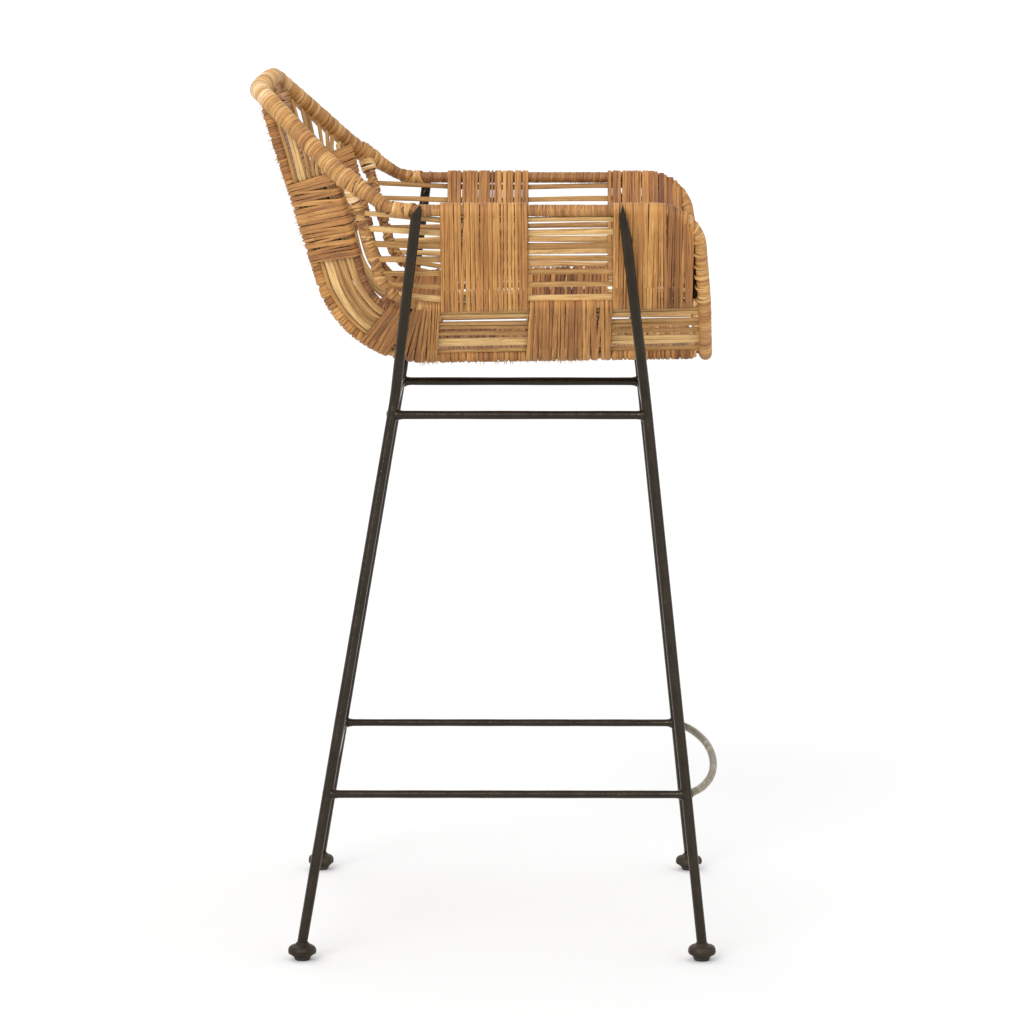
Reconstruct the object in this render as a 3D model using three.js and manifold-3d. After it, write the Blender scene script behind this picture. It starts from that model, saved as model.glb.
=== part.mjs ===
// Bar stool with a footrest: a woven cane bucket seat hung in a welded steel rod frame.
// Millimetres, +Z up. The sitter faces -Y, so the sitter's right hand is on -X. The origin is on the
// floor under the middle of the stool. Pieces that meet keep JOINT_GAP between them.

import * as THREE from "three";
import { mergeVertices } from "three/addons/utils/BufferGeometryUtils.js";
import Module from "manifold-3d";

const wasm = await Module();
wasm.setup();

// ---------------------------------------------------------------- driving dimensions

const JOINT_GAP = 0.4;
const RAIL_GAP = 1; // between the rim and the rails it carries on into
const SIDES = { right: -1, left: 1 };

// Steel frame. Each leg runs from its foot in to the kink under the seat, then out to its tip on the
// outer side of the arm rail, where it is cut to a wedge. Each entry is [half width, y].
const LEG_RADIUS = 6;
const KINK_HEIGHT = 645;
const TIP_HEIGHT = 873;
const LEGS = {
  front: { foot: [251, -249], kink: [169.3, -181.3], tip: [276, -152.5] },
  rear: { foot: [251, 217.5], kink: [169.3, 107], tip: [276, 78.5] },
};
const TIP_WEDGE = {
  halfAngle: THREE.MathUtils.degToRad(12),
  bevel: THREE.MathUtils.degToRad(50),
  rise: 2,
};
const SEAT_BAR = { radius: 5, height: 624 };
const FOOT_BAR = { radius: 4.5, height: 190.5 };
const HOOP = { radius: 4.5, frontY: -267, endDrop: 2, pullX: 150 };
const FOOT_CAP = { radius: 16, bottomRadius: 12.5, bottom: 5, rimTop: 10.5, top: 21, neckRadius: 7.5 };
const FOOT_PAD = { bottomRadius: 9.5, topRadius: 11.5, top: 4.6 };

// Seat shell poles, as points [half width, y, z] on each pole's centre line. The rim is slim along the
// front and the arms, and thickens as it climbs to the back.
const RIM = {
  slimRadius: 7.4,
  fullRadius: 10.5,
  slimBelow: 868,
  fullAbove: 905,
  start: [110, -251, 691],
  corners: [
    [[143, -251, 691], 25],
    [[202, -247.5, 757], 60],
    [[257, -237, 866.5], 50],
    [[257, 108, 866.5], 45],
    [[231, 169.5, 907], 60],
    [[160, 261, 995.5], 32],
  ],
  end: [118, 263.5, 995.5],
};
const TOP_RAIL_MIDDLE_Y = 264.5;
const MID_POLE = {
  radius: 5,
  front: [201, -237, 757],
  corner: [204, 113, 751],
  top: [237, 154, 893],
  bend: 61,
};
const SPINE_POLE = {
  radius: 6,
  front: [137, -240.5, 693],
  corner: [138, 163.7, 687],
  top: [161, 256, 990],
  bend: 122,
};
const INNER_POLE = {
  radius: 7,
  front: [46, -240.5, 687],
  corner: [47, 165, 682],
  top: [53, 261, 993],
  bend: 119,
};
const SHOULDER_HEIGHT = 893; // where the corner posts meet the rim

// The wing pole runs up beside each corner post and edges the flank there. It parts from the mid pole
// over the stations from 1 to partedBy, until it lies `offset` from it.
const WING_POLE = { radius: 4.5, offset: 19, partedBy: 1.6, start: 1.4 };

// Weaving. Each row of flat rods lies between two poles, and dense bays of wrapped cane alternate with
// open ones. A station counts 0 to 1 along the seat, 1 to 2 round the bend, 2 to 3 up to the shoulder
// and 3 to 4 up to the top.
const BAY_ENDS = [0.012, 0.313, 0.632, 0.96, 1.5, 2.2, 2.97, 3.86];
const BEND_STATIONS = [1, 1.25, 1.5, 1.75, 2];
const BACK_STATIONS = [2.4, 2.6, 2.8, 3.3, 3.6];
const ROD = { width: 7, thickness: 3 };
const WRAP = { thickness: 9, hollow: 5.4, edge: 2 };
const ROD_SLACK = 0.5;
const ROD_STARTS = { seat: 0.014, arm: 0.1 };
const TIE = { offset: 0.004, length: 0.02, thickness: 3.8 }; // offset and length in stations
const RODS_IN_ARM = 7;
const RODS_IN_FLANK = 8;
const RODS_IN_SEAT = 6;
const RIM_FAN_START = 0.18; // share of the slanted rim kept free of rods beside the spine

const FINISH = {
  steel: { color: 0x2c2621, roughness: 0.42, metalness: 0.85 },
  footrest: { color: 0x4a4642, roughness: 0.35, metalness: 0.9 },
  foot: { color: 0x3a2f27, roughness: 0.5, metalness: 0.7 },
  rubber: { color: 0x1f1b19, roughness: 0.8, metalness: 0 },
  pole: { color: 0xb98143, roughness: 0.55, metalness: 0 },
  rod: { color: 0xb9965c, roughness: 0.6, metalness: 0 },
  wrap: { color: 0xb87a3c, roughness: 0.5, metalness: 0 },
};

// ---------------------------------------------------------------- geometry helpers

const point = ([x, y, z], side = 1) => new THREE.Vector3(x * side, y, z);
const direction = (from, to) => new THREE.Vector3().subVectors(to, from).normalize();
const between = (a, b, share) => new THREE.Vector3().lerpVectors(a, b, share);

// A path with one extrusion step for each of its points. Where `across` is given, it holds the
// direction of the section's width at each point, and its length scales that width. Where `girth` is
// given, it scales the whole section at each point.
class Route extends THREE.Curve {
  constructor(points, { across, girth }) {
    super();
    this.points = points;
    this.across = across;
    this.girth = girth;
  }

  getPointAt(u, target = new THREE.Vector3()) {
    return target.copy(this.points[Math.round(u * (this.points.length - 1))]);
  }

  getTangentAt(u, target = new THREE.Vector3()) {
    const last = this.points.length - 1;
    const i = Math.round(u * last);
    const onward = direction(this.points[Math.min(i, last - 1)], this.points[Math.min(i, last - 1) + 1]);
    const arriving = direction(this.points[Math.max(i, 1) - 1], this.points[Math.max(i, 1)]);
    return target.addVectors(onward, arriving).normalize();
  }

  computeFrenetFrames(segments, closed) {
    const frames = super.computeFrenetFrames(segments, closed);
    if (this.across) {
      frames.normals = this.across;
      frames.binormals = frames.tangents.map((tangent, i) =>
        new THREE.Vector3().crossVectors(tangent, this.across[i]).normalize(),
      );
    }
    if (this.girth) {
      frames.normals.forEach((normal, i) => normal.multiplyScalar(this.girth[i]));
      frames.binormals.forEach((binormal, i) => binormal.multiplyScalar(this.girth[i]));
    }
    return frames;
  }
}

function sweep(section, points, shaping) {
  const extrudePath = new Route(points, shaping);
  return new THREE.ExtrudeGeometry(section, { steps: points.length - 1, bevelEnabled: false, extrudePath });
}

function disc(sides) {
  const corner = (_, i) => {
    const angle = (2 * Math.PI * i) / sides;
    return new THREE.Vector2(Math.cos(angle), Math.sin(angle));
  };
  return new THREE.Shape(Array.from({ length: sides }, corner));
}

function rectangle(width, height) {
  const [x, y] = [width / 2, height / 2];
  return [[-x, -y], [x, -y], [x, y], [-x, y]].map(([a, b]) => new THREE.Vector2(a, b));
}

const tube = (points, radius, sides = 8) =>
  sweep(disc(sides), points, { girth: points.map(() => radius) });

// The arc of a rounded corner, as a function of the share of its turn.
function cornerArc(before, corner, after, radius) {
  const back = direction(corner, before);
  const onward = direction(corner, after);
  const half = back.angleTo(onward) / 2;
  const reach = radius / Math.tan(half);
  const middle = back.clone().add(onward).normalize().multiplyScalar(radius / Math.sin(half)).add(corner);
  const spoke = back.clone().multiplyScalar(reach).add(corner).sub(middle);
  const endSpoke = onward.clone().multiplyScalar(reach).add(corner).sub(middle);
  const axis = new THREE.Vector3().crossVectors(spoke, endSpoke).normalize();
  return (share) => spoke.clone().applyAxisAngle(axis, share * (Math.PI - 2 * half)).add(middle);
}

// A line from start to end whose corners, each [point, radius], are rounded in `steps` chords.
function roundedLine({ start, corners, end }, side, steps) {
  const stops = [start, ...corners.map(([corner]) => corner), end].map((p) => point(p, side));
  const points = [stops[0]];
  corners.forEach(([, radius], i) => {
    const arc = cornerArc(stops[i], stops[i + 1], stops[i + 2], radius);
    for (let k = 0; k <= steps; k++) points.push(arc(k / steps));
  });
  return [...points, stops.at(-1)];
}

function solidOf(geometry) {
  const bare = new THREE.BufferGeometry().setAttribute("position", geometry.getAttribute("position"));
  if (geometry.index) bare.setIndex(geometry.index);
  const merged = mergeVertices(bare, 1e-3);
  const triVerts = new Uint32Array(merged.index.array);
  return new wasm.Manifold(
    new wasm.Mesh({ numProp: 3, vertProperties: merged.attributes.position.array, triVerts }),
  );
}

function geometryOf(solid) {
  const mesh = solid.getMesh();
  const geometry = new THREE.BufferGeometry();
  geometry.setAttribute("position", new THREE.BufferAttribute(new Float32Array(mesh.vertProperties), 3));
  geometry.setIndex(new THREE.BufferAttribute(new Uint32Array(mesh.triVerts), 1));
  geometry.computeVertexNormals();
  return geometry;
}

// What is left of a geometry after the tools are cut away, without any chips that come loose.
function cut(geometry, ...tools) {
  const left = tools.reduce((solid, tool) => solid.subtract(solidOf(tool)), solidOf(geometry));
  const bodies = left.decompose().sort((a, b) => b.volume() - a.volume());
  return geometryOf(bodies[0]);
}

const join = (...geometries) =>
  geometryOf(geometries.map(solidOf).reduce((whole, solid) => whole.add(solid)));

const stool = new THREE.Group();

function addPart(group, name, geometry, finish) {
  const mesh = new THREE.Mesh(geometry, new THREE.MeshStandardMaterial(FINISH[finish]));
  mesh.name = name;
  group.add(mesh);
}

// ---------------------------------------------------------------- steel frame

const onLeg = (end, side, height) => {
  const { foot, kink } = LEGS[end];
  return between(point([...foot, 0], side), point([...kink, KINK_HEIGHT], side), height / KINK_HEIGHT);
};

const tipDirection = (end, side) =>
  direction(onLeg(end, side, KINK_HEIGHT), point([...LEGS[end].tip, TIP_HEIGHT], side));

const legLine = (end, side) => [
  onLeg(end, side, 0),
  onLeg(end, side, KINK_HEIGHT),
  point([...LEGS[end].tip, TIP_HEIGHT], side).addScaledVector(tipDirection(end, side), TIP_WEDGE.rise),
];

const legTool = (end, side) => tube(legLine(end, side), LEG_RADIUS + JOINT_GAP, 12);

// A slab that takes the bottom of a leg off level with the top of its foot cap.
function footPlane(end, side) {
  const height = FOOT_CAP.top + JOINT_GAP;
  const slab = new THREE.BoxGeometry(80, 80, height + 40);
  const { x, y } = onLeg(end, side, 0);
  return slab.translate(x, y, height / 2 - 20);
}

// The slabs that cut the tip of a leg to a wedge and bevel its outer side, so that its highest point lies
// against the arm rail.
function tipPlanes(end, side) {
  const size = 60;
  const { x, y, z } = point([...LEGS[end].tip, TIP_HEIGHT], side);
  const slab = () => new THREE.BoxGeometry(size, size, size).translate(0, 0, size / 2);
  const faces = [-1, 1].map((face) => slab().rotateX(face * (TIP_WEDGE.halfAngle - Math.PI / 2)));
  faces.forEach((face) => face.translate(x, y, z + TIP_WEDGE.rise));
  const outer = slab().rotateY(side * TIP_WEDGE.bevel);
  return [...faces, outer.translate(x - side * LEG_RADIUS, y, z + TIP_WEDGE.rise)];
}

// A straight bar from one leg to another, its ends coped round them and round any bar it would touch.
function bar({ radius, height }, [endA, sideA], [endB, sideB], ...tools) {
  const line = [onLeg(endA, sideA, height), onLeg(endB, sideB, height)];
  return cut(tube(line, radius, 10), legTool(endA, sideA), legTool(endB, sideB), ...tools);
}

function sideBarTool({ radius, height }, side) {
  return tube([onLeg("front", side, height), onLeg("rear", side, height)], radius + JOINT_GAP, 10);
}

const crossBar = (size, end) =>
  bar(size, [end, -1], [end, 1], sideBarTool(size, -1), sideBarTool(size, 1));

// The footrest hoop bows forward from one front leg to the other.
function hoopLine(steps) {
  const [from, to] = [onLeg("front", -1, FOOT_BAR.height), onLeg("front", 1, FOOT_BAR.height)];
  const pullY = from.y + (HOOP.frontY - from.y) / 0.75;
  const pullZ = from.z - HOOP.endDrop;
  const pull = (side) => new THREE.Vector3(side * HOOP.pullX, pullY, pullZ);
  return new THREE.CubicBezierCurve3(from, pull(-1), pull(1), to).getPoints(steps);
}

function footCap() {
  const { radius, bottomRadius, bottom, rimTop, top, neckRadius } = FOOT_CAP;
  const shoulder = Array.from({ length: 4 }, (_, i) => {
    const angle = (i / 4) * (Math.PI / 2);
    return new THREE.Vector2(
      neckRadius + (radius - neckRadius) * Math.cos(angle),
      rimTop + (top - rimTop) * 0.8 * Math.sin(angle),
    );
  });
  const profile = [
    new THREE.Vector2(0, bottom),
    new THREE.Vector2(bottomRadius, bottom),
    ...shoulder,
    new THREE.Vector2(neckRadius, top),
    new THREE.Vector2(0, top),
  ];
  return new THREE.LatheGeometry(profile, 16);
}

function footPad() {
  const { bottomRadius, topRadius, top } = FOOT_PAD;
  const profile = [[0, 0], [bottomRadius, 0], [topRadius, top], [0, top]];
  return new THREE.LatheGeometry(profile.map(([r, z]) => new THREE.Vector2(r, z)), 16);
}

function buildFrame() {
  const frame = new THREE.Group();
  for (const [hand, side] of Object.entries(SIDES)) {
    for (const end of Object.keys(LEGS)) {
      const rod = tube(legLine(end, side), LEG_RADIUS, 12);
      const leg = cut(rod, footPlane(end, side), ...tipPlanes(end, side));
      addPart(frame, `leg_${end}_${hand}`, leg, "steel");
      const foot = new THREE.Group();
      foot.position.copy(onLeg(end, side, FOOT_CAP.top)).setZ(0);
      addPart(foot, `foot_cap_${end}_${hand}`, footCap().rotateX(Math.PI / 2), "foot");
      addPart(foot, `foot_pad_${end}_${hand}`, footPad().rotateX(Math.PI / 2), "rubber");
      frame.add(foot);
    }
    addPart(frame, `seat_side_bar_${hand}`, bar(SEAT_BAR, ["front", side], ["rear", side]), "steel");
    addPart(frame, `foot_side_bar_${hand}`, bar(FOOT_BAR, ["front", side], ["rear", side]), "steel");
  }
  for (const end of Object.keys(LEGS)) {
    addPart(frame, `seat_cross_bar_${end}`, crossBar(SEAT_BAR, end), "steel");
  }
  addPart(frame, "foot_cross_bar_rear", crossBar(FOOT_BAR, "rear"), "steel");
  const hoop = cut(tube(hoopLine(18), HOOP.radius, 10), legTool("front", -1), legTool("front", 1));
  addPart(frame, "footrest_hoop", hoop, "footrest");
  return frame;
}

// ---------------------------------------------------------------- shell poles

// A pole that runs back along the seat, round its bend and up the back.
class Pole {
  constructor({ radius, front, corner, top, bend }, side) {
    this.radius = radius;
    [this.front, this.top] = [point(front, side), point(top, side)];
    const knee = point(corner, side);
    this.arc = cornerArc(this.front, knee, this.top, bend);
    this.shoulder = between(knee, this.top, (SHOULDER_HEIGHT - knee.z) / (this.top.z - knee.z));
  }

  radiusAt() {
    return this.radius;
  }

  at(station) {
    if (station < 1) return between(this.front, this.arc(0), station);
    if (station < 2) return this.arc(station - 1);
    if (station < 3) return between(this.arc(1), this.shoulder, station - 2);
    return between(this.shoulder, this.top, station - 3);
  }

  geometry(extra = 0) {
    const stations = [0, 1, 1.125, 1.25, 1.375, 1.5, 1.625, 1.75, 1.875, 2, 3, 4];
    const points = stations.map((station) => this.at(station));
    if (points.at(-1).distanceTo(points.at(-2)) < 1) points.pop();
    return tube(points, this.radius + extra);
  }
}

// The upper edge of the flank: the mid pole along the seat, and the wing pole round the bend and up.
class Wing {
  constructor(mid, spine) {
    this.mid = mid;
    this.spine = spine;
  }

  at(station) {
    const middle = this.mid.at(station);
    const parted = THREE.MathUtils.smoothstep(station, 1, WING_POLE.partedBy);
    return middle.addScaledVector(direction(middle, this.spine.at(station)), WING_POLE.offset * parted);
  }

  radiusAt(station) {
    return station > 1 ? WING_POLE.radius : this.mid.radius;
  }

  geometry(extra = 0) {
    const stations = [WING_POLE.start, ...BEND_STATIONS.filter((s) => s > WING_POLE.start), 2.5, 3];
    return tube(stations.map((station) => this.at(station)), WING_POLE.radius + extra);
  }
}

const rimLine = (side) => roundedLine(RIM, side, 4);

function rimTube(side, extra = 0) {
  const { slimRadius, fullRadius, slimBelow, fullAbove } = RIM;
  const points = rimLine(side);
  const share = ({ z }) => THREE.MathUtils.clamp((z - slimBelow) / (fullAbove - slimBelow), 0, 1);
  const girth = points.map((p) => THREE.MathUtils.lerp(slimRadius, fullRadius, share(p)) + extra);
  return sweep(disc(8), points, { girth });
}

const rimTool = (side) => rimTube(side, JOINT_GAP);

function topRailLine(gap) {
  const [x, y, z] = RIM.end;
  const pull = new THREE.Vector3(0, 2 * TOP_RAIL_MIDDLE_Y - y, z);
  const ends = [-1, 1].map((side) => new THREE.Vector3(side * (x - gap), y, z));
  return new THREE.QuadraticBezierCurve3(ends[0], pull, ends[1]).getPoints(8);
}

function frontRailLine() {
  const [x, y, z] = RIM.start;
  return [-1, 1].map((side) => new THREE.Vector3(side * (x - RAIL_GAP), y, z));
}

function buildPoles() {
  const poles = new THREE.Group();
  for (const [hand, side] of Object.entries(SIDES)) {
    addPart(poles, `rim_${hand}`, rimTube(side), "pole");
    const [mid, spine] = [new Pole(MID_POLE, side), new Pole(SPINE_POLE, side)];
    addPart(poles, `mid_pole_${hand}`, cut(mid.geometry(), rimTool(side)), "pole");
    addPart(poles, `spine_pole_${hand}`, cut(spine.geometry(), rimTool(side)), "pole");
    const wing = cut(new Wing(mid, spine).geometry(), rimTool(side), mid.geometry(JOINT_GAP));
    addPart(poles, `wing_pole_${hand}`, wing, "pole");
    const topRailTool = tube(topRailLine(0), RIM.fullRadius + JOINT_GAP);
    addPart(poles, `inner_pole_${hand}`, cut(new Pole(INNER_POLE, side).geometry(), topRailTool), "pole");
  }
  addPart(poles, "top_rail", tube(topRailLine(RAIL_GAP), RIM.fullRadius), "pole");
  addPart(poles, "front_rail", tube(frontRailLine(), RIM.slimRadius), "pole");
  return poles;
}

// ---------------------------------------------------------------- woven rows

// A row of weaving lies between two poles. Its lower pole is the one nearer the middle of the seat.
class Row {
  constructor(name, lower, upper, denseBays) {
    this.name = name;
    this.lower = lower;
    this.upper = upper;
    this.denseBays = denseBays;
  }

  // The edges of the clear strip between the two poles, drawn in by `inset`.
  edges(station, inset) {
    const [a, b] = [this.lower.at(station), this.upper.at(station)];
    const across = direction(a, b);
    a.addScaledVector(across, this.lower.radiusAt(station) + JOINT_GAP + inset);
    b.addScaledVector(across, -this.upper.radiusAt(station) - JOINT_GAP - inset);
    return [a, b];
  }

  strip(section, stations, inset) {
    const edges = stations.map((station) => this.edges(station, inset));
    const middles = edges.map(([a, b]) => between(a, b, 0.5));
    const across = edges.map(([a, b]) => new THREE.Vector3().subVectors(b, a));
    return sweep(section, middles, { across });
  }

  // A dense bay: a flat sleeve of wrapped cane round the rods.
  wrap(bay) {
    const [from, to] = [BAY_ENDS[bay], BAY_ENDS[bay + 1]];
    const inner = [...BEND_STATIONS, ...BACK_STATIONS].filter((station) => station > from && station < to);
    const stations = [from, ...inner, to];
    const [a, b] = this.edges(from, 0);
    const section = new THREE.Shape(rectangle(1, WRAP.thickness));
    section.holes.push(new THREE.Path(rectangle(1 - (2 * WRAP.edge) / a.distanceTo(b), WRAP.hollow)));
    return this.strip(section, stations, 0);
  }

  // Where the middle of a rod runs, for its share of the way from the lower to the upper pole.
  rodPoint(share, station) {
    return between(...this.edges(station, WRAP.edge + ROD_SLACK + ROD.width / 2), share);
  }

  rod(points, station) {
    const [a, b] = this.edges(station, 0);
    const unit = direction(a, b);
    const across = points.map(() => unit);
    return sweep(new THREE.Shape(rectangle(ROD.width, ROD.thickness)), points, { across });
  }

  // The lashing that ties the rods together just behind the station where they start.
  tie(start) {
    const stations = [start + TIE.offset, start + TIE.offset + TIE.length];
    return this.strip(new THREE.Shape(rectangle(1, TIE.thickness)), stations, WRAP.edge + ROD_SLACK);
  }
}

// The point of the slanted rim where a rod of the side row ends, for its share of the way out.
function rimEnd(share, side) {
  const [shoulder, crown] = RIM.corners.slice(-2).map(([corner]) => point(corner, side));
  return between(crown, shoulder, RIM_FAN_START + (1 - RIM_FAN_START) * share);
}

const shares = (count) => Array.from({ length: count }, (_, i) => i / (count - 1));

// The rods of a seat row run from the front, round the bend and up to the rim or the top rail.
function seatRods(row, count, endOf, tools) {
  const stations = [ROD_STARTS.seat, ...BEND_STATIONS, 3];
  const rods = shares(count).map((share) => {
    const points = [...stations.map((station) => row.rodPoint(share, station)), endOf(share)];
    const across = [...stations, 3].map((station) => direction(...row.edges(station, 0)));
    return sweep(new THREE.Shape(rectangle(ROD.width, ROD.thickness)), points, { across });
  });
  return cut(join(...rods, row.tie(ROD_STARTS.seat)), ...tools);
}

// The rods of an arm row run back from inside the front wrap and turn in to the corner post.
function armRods(row, post, tools) {
  const stations = [ROD_STARTS.arm, BAY_ENDS[3]];
  const rods = shares(RODS_IN_ARM).map((share) => {
    const end = post.at(1.58 + 1.1 * share);
    return row.rod([...stations.map((station) => row.rodPoint(share, station)), end], stations[0]);
  });
  return cut(join(...rods, row.tie(ROD_STARTS.arm)), ...tools);
}

// The straight stretch of the rim over the arm, matched station by station to the mid pole.
function armRail(midPole, side) {
  const [x, , z] = RIM.corners[3][0];
  return {
    radiusAt: () => RIM.slimRadius,
    at: (station) => new THREE.Vector3(x * side, midPole.at(station).y, z),
  };
}

function addWraps(group, row, hand, tools = []) {
  for (const bay of row.denseBays) {
    const sleeve = row.wrap(bay);
    addPart(group, `${row.name}_wrap_${bay}${hand}`, tools.length ? cut(sleeve, ...tools) : sleeve, "wrap");
  }
}

function buildWeaving() {
  const weaving = new THREE.Group();
  const topRailTool = tube(topRailLine(0), RIM.fullRadius + JOINT_GAP);
  for (const [hand, side] of Object.entries(SIDES)) {
    const mid = new Pole(MID_POLE, side);
    const spine = new Pole(SPINE_POLE, side);
    const inner = new Pole(INNER_POLE, side);
    const arm = new Row("arm", mid, armRail(mid, side), [0, 2]);
    const wing = new Wing(mid, spine);
    const flank = new Row("flank", spine, wing, [1, 3, 5]);
    const seat = new Row("seat", inner, spine, [0, 2, 4, 6]);
    const rim = rimTool(side);

    addPart(weaving, `arm_rods_${hand}`, armRods(arm, mid, [mid.geometry(JOINT_GAP)]), "rod");
    const flankTools = [rim, mid.geometry(JOINT_GAP), wing.geometry(JOINT_GAP)];
    const flankRods = seatRods(flank, RODS_IN_FLANK, (share) => rimEnd(share, side), flankTools);
    addPart(weaving, `flank_rods_${hand}`, flankRods, "rod");
    const seatEnd = (share) => seat.rodPoint(share, 4);
    addPart(weaving, `seat_rods_${hand}`, seatRods(seat, RODS_IN_SEAT, seatEnd, [rim, topRailTool]), "rod");
    addWraps(weaving, arm, `_${hand}`, [rim]);
    addWraps(weaving, flank, `_${hand}`, flankTools);
    addWraps(weaving, seat, `_${hand}`);
  }
  const centre = new Row("centre", new Pole(INNER_POLE, -1), new Pole(INNER_POLE, 1), [1, 3, 5]);
  const centreEnd = (share) => centre.rodPoint(share, 4);
  addPart(weaving, "centre_rods", seatRods(centre, RODS_IN_SEAT, centreEnd, [topRailTool]), "rod");
  addWraps(weaving, centre, "");
  return weaving;
}

stool.add(buildFrame(), buildPoles(), buildWeaving());

export default stool;
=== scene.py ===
"""Looks of a bar stool with a footrest: a woven cane bucket seat hung in a welded steel rod frame.

Sizes are metres in the row frame: +Z is up, the sitter faces -Y, so the sitter's right hand is on
-X, and the origin is on the floor under the middle of the stool.
"""

import logging
import math
import random
from dataclasses import dataclass, field, replace
from enum import Enum
from typing import Callable, Iterable, Sequence

import bpy
from mathutils import Matrix, Quaternion, Vector


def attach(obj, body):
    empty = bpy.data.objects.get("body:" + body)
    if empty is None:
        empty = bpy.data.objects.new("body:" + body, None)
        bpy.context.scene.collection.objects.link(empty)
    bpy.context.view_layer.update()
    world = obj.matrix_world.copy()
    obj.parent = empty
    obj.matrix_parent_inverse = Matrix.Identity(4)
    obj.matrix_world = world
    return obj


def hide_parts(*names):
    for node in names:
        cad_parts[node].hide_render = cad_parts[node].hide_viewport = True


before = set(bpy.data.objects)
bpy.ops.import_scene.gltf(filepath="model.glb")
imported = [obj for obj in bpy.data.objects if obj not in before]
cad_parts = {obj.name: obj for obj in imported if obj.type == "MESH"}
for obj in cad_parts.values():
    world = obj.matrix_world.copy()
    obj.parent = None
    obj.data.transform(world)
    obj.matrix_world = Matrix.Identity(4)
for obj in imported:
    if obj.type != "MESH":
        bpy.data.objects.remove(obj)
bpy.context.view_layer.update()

STRIP_MAP = "strip"
TONE = "tone"
# How much painted shade a vertex gets: most in the seams between strips and turns.
SEAM_SHADE = "edge"

BUCKET_MIDDLE = Vector((0.0, 0.0, 0.82))
# The stations at which the bays of the woven rows meet.
BAY_ENDS = (0.012, 0.313, 0.632, 0.96, 1.5, 2.2, 2.97, 3.86)

log = logging.getLogger("bar_stool")

Colour = tuple[float, float, float]
Place = tuple[float, float, float]
Cells = tuple[float, float, float]
Stops = Sequence[tuple[float, Colour]]


# ---------------------------------------------------------------- named options


class Side(Enum):
    """A side of the stool, as the sign of its x coordinates."""

    RIGHT = -1
    LEFT = 1

    @property
    def word(self) -> str:
        """The side's name in the names of pieces."""
        return self.name.lower()


class End(Enum):
    """The front or the rear of the stool, as the sign of its y coordinates."""

    FRONT = -1
    REAR = 1

    @property
    def word(self) -> str:
        """The end's name in the names of pieces."""
        return self.name.lower()


Leg = tuple[End, Side]


class Slot(Enum):
    """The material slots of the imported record."""

    FRAME_STEEL = "frame_steel"
    FOOTREST_STEEL = "footrest_steel"
    FOOT_CAP = "foot_cap"
    FOOT_PAD = "foot_pad"
    WRAPPED_POLE = "wrapped_pole"
    OPEN_RODS = "open_rods"
    DENSE_CANE = "dense_cane"


# ---------------------------------------------------------------- finishes


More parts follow.
